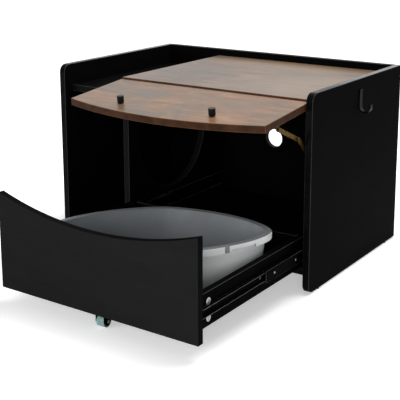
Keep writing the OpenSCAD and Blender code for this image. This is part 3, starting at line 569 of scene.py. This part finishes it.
class Finishes:
    """All materials of the cabinet, each made once."""

    def __init__(self) -> None:
        """Makes the materials."""
        self.black_width = BlackLaminate("black_laminate_width", Along.WIDTH).material()
        self.black_depth = BlackLaminate("black_laminate_depth", Along.DEPTH).material()
        # The drawer front's laminate is a lighter copy of the black board: painted light on the face that looks at
        # the lamps.
        self.black_front_lit = BlackLaminate("black_laminate_front_painted_light", Along.WIDTH, neutral(26),
                                         neutral(32)).material()
        # The drawer sides' laminate is a darker copy of the black board: painted shade for the sides inside the
        # cabinet.
        self.black_side_shaded = BlackLaminate("black_laminate_drawer_painted_shade", Along.DEPTH, neutral(1),
                                        neutral(3)).material()
        self.black_edge = EdgeBand("black_edge_band", neutral(12), neutral(19), 0.4,
                                   0.05).material()
        self.black_shine = EdgeBand("black_edge_shine", neutral(7), neutral(13), 0.16, 0.05,
                                    0.8).material()
        # The drawer's edging is a darker copy of the edge band: painted shade.
        self.black_edge_shaded = EdgeBand("black_edge_painted_shade", neutral(1), neutral(4), 0.5,
                                   0.02).material()
        # The roundings of the black boards are painted much lighter than their edging: a painted highlight along each
        # edge.
        self.black_edge_highlight = EdgeBand("black_edge_painted_highlight", neutral(34), tone(62, 62, 61)).material()
        # The drawer front's rounding is painted light grey: a painted highlight along its edges.
        self.front_edge_highlight = EdgeBand("black_front_painted_highlight", neutral(64), neutral(92), 0.5,
                                   0.05).material()
        # The top's clouds are painted light: tan sheen over the rear middle and the right, and painted shade over the
        # left.
        self.brown_top = RusticLaminate("rustic_laminate_top", (
            SheenShadeCloud(mm(60, 150, 435), tuple(mm(260, 70, 100)), tone(152, 130, 108), 0.45),
            SheenShadeCloud(mm(-60, -100, 435), tuple(mm(140, 260, 100)), tone(62, 42, 28), 0.5),
            SheenShadeCloud(mm(250, -60, 435), tuple(mm(120, 180, 100)), tone(140, 120, 98), 0.35)),
            shift=(4, 2, 0)).material()
        self.brown_flap = RusticLaminate("rustic_laminate_flap", ground=tone(116, 83, 54),
                                         light=tone(160, 114, 76)).material()
        self.brown_edge = EdgeBand("rustic_edge_band", tone(42, 26, 16), tone(76, 50, 33), 0.5,
                                   0.08).material()
        self.brown_seam = EdgeBand("rustic_seam_band", tone(60, 39, 25), tone(96, 66, 45), 0.5,
                                   0.05).material()
        # The flap's rounding is painted lighter than its edge band: a painted highlight along its edges.
        self.brown_edge_highlight = EdgeBand("rustic_edge_painted_highlight", tone(88, 62, 43), tone(122, 92, 68), 0.5,
                                   0.08).material()
        self.coated = CoatedMetal("black_coated_steel").material()
        # The slides' roundings take a light grey copy of the black coat: a painted highlight along their edges.
        self.coated_highlight = CoatedMetal("black_coated_steel_painted_highlight", tone(110, 110, 112),
                                       tone(170, 170, 172)).material()
        self.hook = CoatedMetal("black_hook_coat", neutral(4), neutral(9), 0.28, 0.1).material()
        self.knob = CoatedMetal("black_knob_coat", neutral(8), neutral(13), 0.3,
                                0.25).material()
        self.zinc = PlatedMetal("zinc_plating", tone(150, 150, 152),
                                tone(214, 214, 216)).material()
        self.bright = PlatedMetal("bright_steel", tone(120, 121, 124), tone(196, 197, 200),
                                  0.22).material()
        self.brass = PlatedMetal("yellow_zinc_plating", tone(62, 50, 24), tone(140, 112, 58),
                                 0.4, 160).material()
        self.pan = MouldedPlastic("pan_plastic", tone(216, 221, 220),
                                  tone(228, 232, 231)).material()
        # The tray's outside is a lighter copy of the pan's plastic: painted light.
        self.pan_lit = MouldedPlastic("pan_plastic_painted_light", tone(230, 235, 234),
                                       tone(239, 243, 242)).material()
        # The pan's inside and rim top take a darker copy of its plastic: painted shade.
        self.pan_shaded = MouldedPlastic("pan_plastic_painted_shade", tone(128, 133, 136),
                                         tone(142, 147, 150)).material()
        self.clip = MouldedPlastic("clip_plastic", tone(118, 121, 124),
                                   tone(134, 137, 140)).material()
        self.hub = MouldedPlastic("hub_plastic", tone(26, 32, 32), tone(40, 48, 47),
                                  0.4).material()
        self.foot = MouldedPlastic("glide_plastic", neutral(20), neutral(30), 0.5).material()
        self.tread = MouldedPlastic("soft_tread", tone(114, 146, 143), tone(138, 168, 165), 0.5,
                                    900, 0.2).material()
        self.beech = Beech().material()


def paint(material: bpy.types.Material, *nodes: str) -> None:
    """Gives CAD nodes a material.

    Args:
        material: The material.
        nodes: Names of the nodes.
    """
    for node in nodes:
        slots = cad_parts[node].data.materials
        slots.clear()
        slots.append(material)
        LOG.info("painted %s", node)


def new_piece(name: str, mesh: bmesh.types.BMesh, materials: list[bpy.types.Material], body: str) -> bpy.types.Object:
    """Makes an object of a mesh and lets it ride on a body.

    Args:
        name: The piece's name.
        mesh: The mesh, which is freed.
        materials: Its materials.
        body: The body that it moves with.

    Returns:
        The object.
    """
    data = bpy.data.meshes.new(name)
    mesh.to_mesh(data)
    mesh.free()
    for material in materials:
        data.materials.append(material)
    piece = bpy.data.objects.new(name, data)
    bpy.context.scene.collection.objects.link(piece)
    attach(piece, body)
    LOG.info("built %s with %d faces", name, len(data.polygons))
    return piece


def welded(node: str) -> bmesh.types.BMesh:
    """Copies a CAD node's triangles, joined to flat faces.

    Args:
        node: Name of the node.

    Returns:
        The mesh.
    """
    mesh = bmesh.new()
    mesh.from_mesh(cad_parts[node].data)
    bmesh.ops.remove_doubles(mesh, verts=mesh.verts, dist=WELD_DISTANCE)
    bmesh.ops.dissolve_limit(mesh, angle_limit=FLAT_ANGLE, verts=mesh.verts, edges=mesh.edges)
    return mesh


def extent(points: list[Vector]) -> float:
    """Gives the longest side of the box round some points."""
    return max(max(p[i] for p in points) - min(p[i] for p in points) for i in range(3))


def sharp_chains(mesh: bmesh.types.BMesh, least_size: float) -> list[bmesh.types.BMEdge]:
    """Finds the sharp edges that belong to long outlines, and leaves those of small holes.

    Args:
        mesh: The mesh.
        least_size: Least extent of an outline.

    Returns:
        The edges.
    """
    sharp = {e for e in mesh.edges
             if len(e.link_faces) == 2 and e.calc_face_angle(0) > SHARP_ANGLE}
    found: list[bmesh.types.BMEdge] = []
    while sharp:
        chain, ends = [], [sharp.pop()]
        while ends:
            edge = ends.pop()
            chain.append(edge)
            for vert in edge.verts:
                near = [e for e in vert.link_edges if e in sharp]
                sharp.difference_update(near)
                ends.extend(near)
        if extent([v.co for e in chain for v in e.verts]) >= least_size:
            found.extend(chain)
    return found


def rounded_copy(node: str, radius: float, least_size: float = 0,
                 slot: int = KEEP_SLOT) -> bmesh.types.BMesh:
    """Copies a CAD node and rounds the edges of its long outlines.

    Args:
        node: Name of the node.
        radius: Width of the rounding.
        least_size: Least extent of an outline that is rounded.
        slot: Material slot of the rounding, or KEEP_SLOT for that of its neighbour.

    Returns:
        The mesh.
    """
    mesh = welded(node)
    edges = sharp_chains(mesh, least_size)
    if edges:
        bmesh.ops.bevel(mesh, geom=edges, offset=radius, offset_type="OFFSET", affect="EDGES",
                        segments=ROUNDING_STEPS, profile=0.5, material=slot,
                        clamp_overlap=True)
    for face in mesh.faces:
        face.smooth = True
    return mesh


def weigh_normals(piece: bpy.types.Object) -> None:
    """Keeps large faces flat beside rounded edges."""
    piece.data.set_sharp_from_angle(angle=SMOOTH_ANGLE)
    modifier = piece.modifiers.new("weighted_normals", "WEIGHTED_NORMAL")
    modifier.keep_sharp = True
    modifier.weight = NORMAL_WEIGHT


def small_islands(mesh: bmesh.types.BMesh, most_size: float) -> list[bmesh.types.BMFace]:
    """Finds the faces of the mesh's small loose parts.

    Args:
        mesh: The mesh.
        most_size: Most extent of a small part.

    Returns:
        The faces.
    """
    left, found = set(mesh.faces), []
    while left:
        part, ends = [], [left.pop()]
        while ends:
            face = ends.pop()
            part.append(face)
            near = {f for e in face.edges for f in e.link_faces} & left
            left -= near
            ends.extend(near)
        if extent([v.co for f in part for v in f.verts]) < most_size:
            found.extend(part)
    return found


def metal_copy(node: str, material: bpy.types.Material, body: str, radius: float,
               least_size: float = 0, edge: bpy.types.Material | None = None,
               rivet: bpy.types.Material | None = None) -> bpy.types.Object:
    """Replaces a sheet or turned CAD node by a copy whose edges are rounded.

    Args:
        node: Name of the node.
        material: Its material.
        body: The body that it moves with.
        radius: Width of the rounding.
        least_size: Least extent of an outline that is rounded.
        edge: Material of the rounding, if it is another.
        rivet: Material of the rivets, if it is another.

    Returns:
        The new piece.
    """
    mesh = rounded_copy(node, radius, least_size, MetalSlot.EDGE if edge else KEEP_SLOT)
    if rivet:
        for face in small_islands(mesh, RIVET_SIZE):
            face.material_index = MetalSlot.RIVET
    materials = [material, edge or material, rivet or material]
    piece = new_piece(f"{node}_rounded", mesh, materials, body)
    weigh_normals(piece)
    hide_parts(node)
    return piece


@dataclass
class Board:
    """One coated board with its edging.

    Args:
        node: The CAD node that it stands for.
        body: The body that it moves with.
        slot: The record's material slot. Not used.
        face: Material of its two faces.
        edge: Material of its edging.
        through: Direction of its thickness.
        line: Material of the edging's rounding; on most boards a lighter copy, as a painted highlight.
        rounding: Width of the edging's rounding.
        least_size: Least extent of an outline that is rounded.
    """

    node: str
    body: str
    slot: str
    face: bpy.types.Material
    edge: bpy.types.Material
    through: Vector
    line: bpy.types.Material
    rounding: float = 0.9 * MM
    least_size: float = 40 * MM

    def build(self) -> bpy.types.Object:
        """Builds the board."""
        mesh = rounded_copy(self.node, self.rounding, self.least_size, BoardSlot.LINE)
        mesh.normal_update()
        for face in mesh.faces:
            if face.material_index != BoardSlot.LINE:
                broad = abs(face.normal.dot(self.through)) > FACE_ON
                face.material_index = BoardSlot.FACE if broad else BoardSlot.EDGE
        materials = [self.face, self.edge, self.line]
        piece = new_piece(f"{self.node}_board", mesh, materials, self.body)
        weigh_normals(piece)
        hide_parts(self.node)
        return piece


SIDEWAYS = Vector((1, 0, 0))
FORWARD = Vector((0, 1, 0))
UP = Vector((0, 0, 1))


@dataclass
class Carcass:
    """The standing cabinet: its boards, fittings, glides and hook.

    Args:
        body: The body that it moves with.
        hook_rounding: Width of the hook's rounding.
    """

    body: str = "cabinet"
    hook_rounding: float = 0.7 * MM

    def build(self, finish: Finishes) -> None:
        """Builds the boards and paints the fittings.

        Args:
            finish: The materials.
        """
        # Each black board's rounding is painted lighter than its edging: a painted highlight.
        plain, shiny = finish.black_edge, finish.black_shine
        for node, face, edge, through in (
                ("left_side_panel", finish.black_depth, shiny, SIDEWAYS),
                ("right_side_panel", finish.black_depth, shiny, SIDEWAYS),
                ("partition_panel", finish.black_depth, plain, SIDEWAYS),
                ("back_panel", finish.black_width, plain, FORWARD),
                ("tray_shelf", finish.black_width, plain, UP),
                ("bottom_panel", finish.black_width, plain, UP)):
            Board(node, self.body, "black_board", face, edge, through, finish.black_edge_highlight).build()
        Board("top_panel", self.body, "brown_board", finish.brown_top, finish.brown_seam, UP,
              finish.brown_seam).build()
        paint(finish.zinc, "panel_cams", "partition_screws", "back_screws", "slide_outer_screws",
              "plate_screws")
        paint(finish.bright, "panel_cam_bolts")
        paint(finish.beech, "partition_dowels")
        paint(finish.foot, "glides")
        paint(finish.hook, "hook_screws")
        metal_copy("towel_hook", finish.hook, self.body, self.hook_rounding)


@dataclass
class Runners:
    """The two ball slides beside the drawer's sides.

    Args:
        lip: Width of the members' rounding.
        least_size: Least extent of an outline that is rounded.
    """

    lip: float = 0.35 * MM
    least_size: float = 20 * MM

    def build(self, finish: Finishes) -> None:
        """Builds the members and paints the ball races.

        Args:
            finish: The materials.
        """
        # The members' roundings take a light copy of the coat: a painted highlight along their edges.
        for side in ("left", "right"):
            for part, body in (("outer", "cabinet"), ("middle", f"{side}_middle_runner"),
                               ("inner", "drawer")):
                metal_copy(f"slide_{part}_{side}", finish.coated, body, self.lip,
                           self.least_size, finish.coated_highlight, finish.zinc)
            paint(finish.bright, f"outer_ball_race_{side}", f"inner_ball_race_{side}")
        paint(finish.zinc, "slide_inner_screws")


@dataclass
class DrawerBox:
    """The drawer's boards and their fittings.

    Args:
        body: The body that it moves with.
        bracket_rounding: Width of the castor bracket's rounding.
    """

    body: str = "drawer"
    bracket_rounding: float = 0.3 * MM

    def build(self, finish: Finishes) -> None:
        """Builds the boards and paints the fittings.

        Args:
            finish: The materials.
        """
        # The front's laminate and rounding are painted lighter, and the sides' laminate and all the drawer's edging
        # darker: painted light and painted shade.
        for node, face, line, through in (
                ("drawer_front", finish.black_front_lit, finish.front_edge_highlight, FORWARD),
                ("drawer_back", finish.black_width, finish.black_edge_highlight, FORWARD),
                ("drawer_left_side", finish.black_side_shaded, finish.black_edge_highlight, SIDEWAYS),
                ("drawer_right_side", finish.black_side_shaded, finish.black_edge_highlight, SIDEWAYS)):
            Board(node, self.body, "black_board", face, finish.black_edge_shaded, through, line).build()
        paint(finish.black_width, "drawer_base")
        paint(finish.zinc, "drawer_cams", "castor_screws", "castor_axle")
        paint(finish.bright, "drawer_cam_bolts")
        paint(finish.coated, "drawer_back_screws")
        metal_copy("castor_bracket", finish.coated, self.body,
                   self.bracket_rounding)


@dataclass
class Castor:
    """The wheel under the drawer front."""

    def build(self, finish: Finishes) -> None:
        """Paints the wheel.

        Args:
            finish: The materials.
        """
        paint(finish.hub, "castor_wheel")
        paint(finish.tread, "castor_tread")


@dataclass
class Pan:
    """The loose litter pan in the drawer.

    Its outline is an oval a little fuller than a rhombus, with its long axis turned in the drawer.

    Args:
        body: The body that it moves with.
        centre: Its middle on the floor.
        turn: Turn of its long axis.
        half_length: Half its length over the rim.
        half_width: Half its width over the rim.
        fullness: Power of the oval, where 1 is a rhombus and 2 an ellipse.
        steps: Points round the outline.
        foot_z: Height of its underside.
        top_z: Height of its rim.
        wall: Thickness of the tray.
        wall_inset: Inset of the tray from the rim's outer edge.
        taper: Size of the tray's foot against its top.
        rim_rounding: Width of the rim's rounding.
        rim_least_size: Least extent of the rim's rounded outlines.
        clip_rounding: Width of the clips' rounding.
    """

    body: str = "litter_pan"
    centre: Vector = field(default_factory=lambda: mm(90, -422, 0))
    turn: float = math.radians(30.4)
    half_length: float = 246 * MM
    half_width: float = 156.5 * MM
    fullness: float = 1.6
    steps: int = 240
    foot_z: float = 62 * MM
    top_z: float = 158.5 * MM
    wall: float = 2.4 * MM
    wall_inset: float = 13.5 * MM
    taper: float = 0.96
    rim_rounding: float = 0.9 * MM
    rim_least_size: float = 60 * MM
    clip_rounding: float = 0.8 * MM

    def point(self, step: float, inset: float, share: float = 1) -> Vector:
        """Gives a point of the outline.

        Args:
            step: Place round the outline, from 0 to steps.
            inset: Distance inside the rim's outer edge.
            share: Scale about the pan's middle.

        Returns:
            The point at the height 0.
        """
        angle = math.tau * step / self.steps
        reach = 2 / self.fullness
        x = math.copysign(abs(math.cos(angle)) ** reach, math.cos(angle))
        y = math.copysign(abs(math.sin(angle)) ** reach, math.sin(angle))
        flat = Vector(((self.half_length - inset) * x, (self.half_width - inset) * y, 0)) * share
        return Matrix.Rotation(self.turn, 3, "Z") @ flat + self.centre

    def loft(self, rings: list[tuple[float, float, float]]) -> bmesh.types.BMesh:
        """Draws a skin through rings of the outline, with its two ends filled.

        Args:
            rings: For each ring, its inset, its scale and its height.

        Returns:
            The mesh.
        """
        mesh = bmesh.new()
        bmesh.ops.create_circle(mesh, segments=self.steps, radius=1)
        mesh.verts.ensure_lookup_table()
        loop = sorted(mesh.verts, key=lambda v: math.atan2(v.co.y, v.co.x) % math.tau)
        for number, (inset, share, height) in enumerate(rings):
            if number:
                edges = [mesh.edges.get((loop[i], loop[i - 1])) for i in range(self.steps)]
                made = bmesh.ops.extrude_edge_only(mesh, edges=edges)["geom"]
                new = {v for v in made if isinstance(v, bmesh.types.BMVert)}
                loop = [next(e.other_vert(v) for e in v.link_edges if e.other_vert(v) in new)
                        for v in loop]
            for step, vert in enumerate(loop):
                vert.co = self.point(step + 0.5, inset, share) + Vector((0, 0, height))
        bmesh.ops.holes_fill(mesh, edges=[e for e in mesh.edges if e.is_boundary])
        bmesh.ops.recalc_face_normals(mesh, faces=mesh.faces)
        return mesh

    def profile(self) -> list[tuple[float, float, float]]:
        """Gives the tray's rings, up its outside and down its inside.

        Returns:
            For each ring, its inset, its scale and its height.
        """
        skin = self.wall_inset + self.wall
        top = self.top_z - self.wall
        foot = self.foot_z
        heights = [
            (30 * MM, foot, foot), (22 * MM, foot, foot + 0.6 * MM),
            (self.wall_inset + 0.6 * MM, foot, foot + 3 * MM),
            (self.wall_inset, foot + 7 * MM, foot + 7 * MM),
            (self.wall_inset, top - 0.8 * MM, top - 0.8 * MM),
            (self.wall_inset + 0.5 * MM, top, top),
            (skin - 0.5 * MM, top, top),
            (skin, top - 0.8 * MM, top - 0.8 * MM),
            (skin, foot + 11 * MM, foot + 11 * MM),
            (skin + 1 * MM, foot + 6 * MM, foot + 6 * MM),
            (skin + 5 * MM, foot + 3 * MM, foot + 3 * MM),
            (skin + 14 * MM, foot, foot + 2.4 * MM)]
        return [(inset, self.share(level), height) for inset, level, height in heights]

    def build(self, finish: Finishes) -> None:
        """Builds the tray, its rim and the clips.

        Args:
            finish: The materials.
        """
        mesh = self.loft(self.profile())
        # The tray's upward and inward faces take a darker copy of its plastic, painted shade, and its outer faces a
        # lighter one, painted light.
        for face in mesh.faces:
            face.smooth = True
            face.material_index = int(self.faces_in(face))
        tray = new_piece("pan_tray_shell", mesh, [finish.pan_lit, finish.pan_shaded], self.body)
        weigh_normals(tray)
        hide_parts("pan_tray")
        rim = rounded_copy("pan_rim", self.rim_rounding, self.rim_least_size)
        rim.normal_update()
        # The rim's top and inner faces take the same painted shade.
        for face in rim.faces:
            face.material_index = int(self.faces_in(face))
        rim = new_piece("pan_rim_rounded", rim, [finish.pan, finish.pan_shaded], self.body)
        weigh_normals(rim)
        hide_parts("pan_rim")
        metal_copy("pan_clips", finish.clip, self.body, self.clip_rounding)

    def faces_in(self, face: bmesh.types.BMFace) -> bool:
        """Tells whether a face looks up or towards the pan's middle: the faces painted in shade."""
        out = face.calc_center_median() - self.centre
        return face.normal.z > 0.5 or face.normal.x * out.x + face.normal.y * out.y < 0

    def share(self, height: float) -> float:
        """Gives the tray's scale at a height."""
        rise = (height - self.foot_z) / (self.top_z - self.wall - self.foot_z)
        return self.taper + (1 - self.taper) * rise


@dataclass
class Flap:
    """The raised flap with its knobs and hinges.

    Args:
        body: The body that it moves with.
        tilt: Its slope at rest.
        knob_rounding: Width of the knobs' rounding.
    """

    body: str = "flap"
    tilt: float = math.radians(5.6)
    knob_rounding: float = 0.7 * MM

    def build(self, finish: Finishes) -> None:
        """Builds the board and paints the fittings.

        Args:
            finish: The materials.
        """
        through = Vector((0, math.sin(self.tilt), math.cos(self.tilt)))
        # The flap's rounding is painted lighter than its edging: a painted highlight.
        Board("flap_panel", self.body, "brown_board", finish.brown_flap, finish.brown_edge,
              through, finish.brown_edge_highlight).build()
        metal_copy("flap_knobs", finish.knob, self.body, self.knob_rounding)
        paint(finish.zinc, "knob_screws", "hinge_cups", "hinge_plates", "flap_screws")
        paint(finish.bright, "hinge_pins", "hinge_arms")


@dataclass
class Stay:
    """The folding stay between the flap and the right side panel.

    Args:
        rounding: Width of the links' rounding.
    """

    rounding: float = 0.4 * MM

    def build(self, finish: Finishes) -> None:
        """Builds the links and paints the rivets.

        Args:
            finish: The materials.
        """
        for node, body in (("stay_bracket", "flap"), ("stay_upper_link", "upper_link"),
                           ("stay_lower_link", "lower_link")):
            metal_copy(node, finish.brass, body, self.rounding)
        paint(finish.brass, "stay_upper_rivet", "stay_upper_button", "stay_elbow_rivet")
        paint(finish.zinc, "stay_post")


@dataclass(frozen=True)
class Softbox:
    """A rectangular area light.

    Args:
        name: The lamp's name.
        place: Its middle.
        target: The point that it faces.
        width: Its width.
        height: Its height.
        power: Its power in watts.
    """

    name: str
    place: Vector
    target: Vector
    width: float
    height: float
    power: float

    def hang(self, mirrored: bool) -> None:
        """Hangs the lamp.

        Args:
            mirrored: Whether glossy surfaces mirror it.
        """
        light = bpy.data.lights.new(self.name, "AREA")
        light.shape, light.energy = "RECTANGLE", self.power
        light.size, light.size_y = self.width, self.height
        lamp = bpy.data.objects.new(self.name, light)
        bpy.context.scene.collection.objects.link(lamp)
        lamp.location = self.place
        lamp.rotation_euler = (self.target - self.place).to_track_quat("-Z", "Y").to_euler()
        lamp.visible_glossy = mirrored


SOFTBOXES = (
    Softbox("overhead_softbox", Vector((0.5, 0.3, 2.6)), Vector((0.0, -0.2, 0.2)), 1.6, 1.6, 56),
    Softbox("front_softbox", Vector((-1.3, -3.0, 1.0)), Vector((0.0, -0.3, 0.2)), 2.0, 1.4, 40),
    Softbox("right_softbox", Vector((1.9, -2.9, 0.9)), Vector((0.2, -0.3, 0.15)), 1.4, 1.0, 36))


@dataclass
class Studio:
    """Floor, lights and camera.

    Args:
        floor_half: Half the floor's side.
        floor_tone: Share of the light that the floor gives back.
        shade_centre: Middle of the floor's shaded part.
        shade_near: Radius within which the floor glows least.
        shade_far: Radius beyond which it is white.
        shade_glow: Its glow within the shaded part.
        fill: Level of the surroundings' light.
        mirror_front: Level that glossy surfaces mirror from the front.
        mirror_turn: Reach of the change to the rear's level of 1.
        mirror_from: Height from which the lamps are mirrored.
        sensor: Width of the camera's sensor in millimetres.
        focal_px: Focal length in the photo's pixels.
        photo_px: Width of the photo in pixels.
        eye: Place of the camera.
        yaw: Its turn to the left.
        pitch: Its turn downwards.
        roll: Its turn about its axis.
        shift_y: Its vertical shift.
    """

    floor_half: float = 30.0
    floor_tone: float = 0.92
    shade_centre: Vector = field(default_factory=lambda: Vector((0.2, -0.2, 0)))
    shade_near: float = 0.62
    shade_far: float = 1.08
    shade_glow: float = 0.4
    fill: float = 0.24
    mirror_front: float = 0.12
    mirror_turn: float = 0.5
    mirror_from: float = 2.0
    sensor: float = 36.0
    focal_px: float = 945.5
    photo_px: int = 400
    eye: Vector = field(default_factory=lambda: Vector((1.274, -1.9759, 0.8304)))
    yaw: float = 0.6044
    pitch: float = 0.2176
    roll: float = -0.0029
    shift_y: float = -0.2

    def build(self) -> None:
        """Builds the whole studio."""
        self.floor()
        self.world()
        for softbox in SOFTBOXES:
            softbox.hang(softbox.place.z > self.mirror_from)
        self.camera()

    def floor(self) -> None:
        """Builds the pale floor, which glows white away from the object."""
        mesh = bmesh.new()
        bmesh.ops.create_grid(mesh, x_segments=8, y_segments=8, size=self.floor_half)
        data = bpy.data.meshes.new("studio_floor")
        mesh.to_mesh(data)
        mesh.free()
        floor = bpy.data.objects.new("studio_floor", data)
        bpy.context.scene.collection.objects.link(floor)
        shade = Shade("studio_floor_paint")
        shade.surface.inputs["Base Color"].default_value = (*[self.floor_tone] * 3, 1)
        shade.fixed(roughness=0.9, specular_ior_level=0.1)
        seen = shade.nodes.new("ShaderNodeLightPath")
        shade.surface.inputs["Emission Color"].default_value = (1, 1, 1, 1)
        away = shade.span(shade.distance(self.shade_centre, (1, 1, 1)), self.shade_near,
                          self.shade_far, self.shade_glow, 1)
        shade.links.new(shade.times(away, seen.outputs["Is Camera Ray"]),
                        shade.surface.inputs["Emission Strength"])
        data.materials.append(shade.material)

    def world(self) -> None:
        """Makes the white surroundings and their soft fill."""
        world = bpy.data.worlds.new("studio_world")
        bpy.context.scene.world = world
        world.use_nodes = True
        nodes, links = world.node_tree.nodes, world.node_tree.links

        def joined(operation: str, first: Socket, second: Socket) -> Socket:
            """Joins two factors by an operation."""
            node = nodes.new("ShaderNodeMath")
            node.operation = operation
            links.new(first, node.inputs[0])
            links.new(second, node.inputs[1])
            return node.outputs[0]

        def mapped(factor: Socket, **limits: float) -> Socket:
            """Maps a factor between limits."""
            node = nodes.new("ShaderNodeMapRange")
            for name, value in limits.items():
                node.inputs[name.replace("_", " ").title()].default_value = value
            links.new(factor, node.inputs["Value"])
            return node.outputs["Result"]

        seen = nodes.new("ShaderNodeLightPath").outputs
        place = nodes.new("ShaderNodeTexCoord")
        parts = nodes.new("ShaderNodeSeparateXYZ")
        links.new(place.outputs["Generated"], parts.inputs[0])
        depth = mapped(parts.outputs["Y"], from_min=-self.mirror_turn, from_max=self.mirror_turn,
                       to_min=self.mirror_front)
        mirrored = joined("MULTIPLY", depth, seen["Is Glossy Ray"])
        shown = joined("MAXIMUM", seen["Is Camera Ray"], mirrored)
        shown = joined("MAXIMUM", shown, seen["Is Transmission Ray"])
        background = nodes["Background"]
        background.inputs["Color"].default_value = (1, 1, 1, 1)
        links.new(mapped(shown, to_min=self.fill, to_max=1.0), background.inputs["Strength"])

    def camera(self) -> None:
        """Places the camera where the photograph was taken from."""
        data = bpy.data.cameras.new("photo_camera")
        data.sensor_fit, data.sensor_width = "HORIZONTAL", self.sensor
        data.lens = self.focal_px / self.photo_px * self.sensor
        data.shift_y = self.shift_y
        data.clip_end = 200
        camera = bpy.data.objects.new("photo_camera", data)
        bpy.context.scene.collection.objects.link(camera)
        ahead = Vector((-math.sin(self.yaw) * math.cos(self.pitch),
                        math.cos(self.yaw) * math.cos(self.pitch), -math.sin(self.pitch)))
        right = Vector((math.cos(self.yaw), math.sin(self.yaw), 0))
        up = right.cross(ahead)
        turned_right = right * math.cos(self.roll) + up * math.sin(self.roll)
        turned_up = up * math.cos(self.roll) - right * math.sin(self.roll)
        camera.matrix_world = Matrix.Translation(self.eye) @ Matrix(
            (turned_right, turned_up, -ahead)).transposed().to_4x4()
        bpy.context.scene.camera = camera


def main() -> None:
    """Builds the pieces round the CAD frame, and the studio."""
    logging.basicConfig(level=logging.INFO, format="%(message)s")
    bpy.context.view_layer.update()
    bpy.context.scene.view_settings.view_transform = "Standard"
    finish = Finishes()
    for part in (Carcass(), Runners(), DrawerBox(), Castor(), Pan(), Flap(), Stay()):
        part.build(finish)
    Studio().build()


if __name__ == "__main__":
    main()
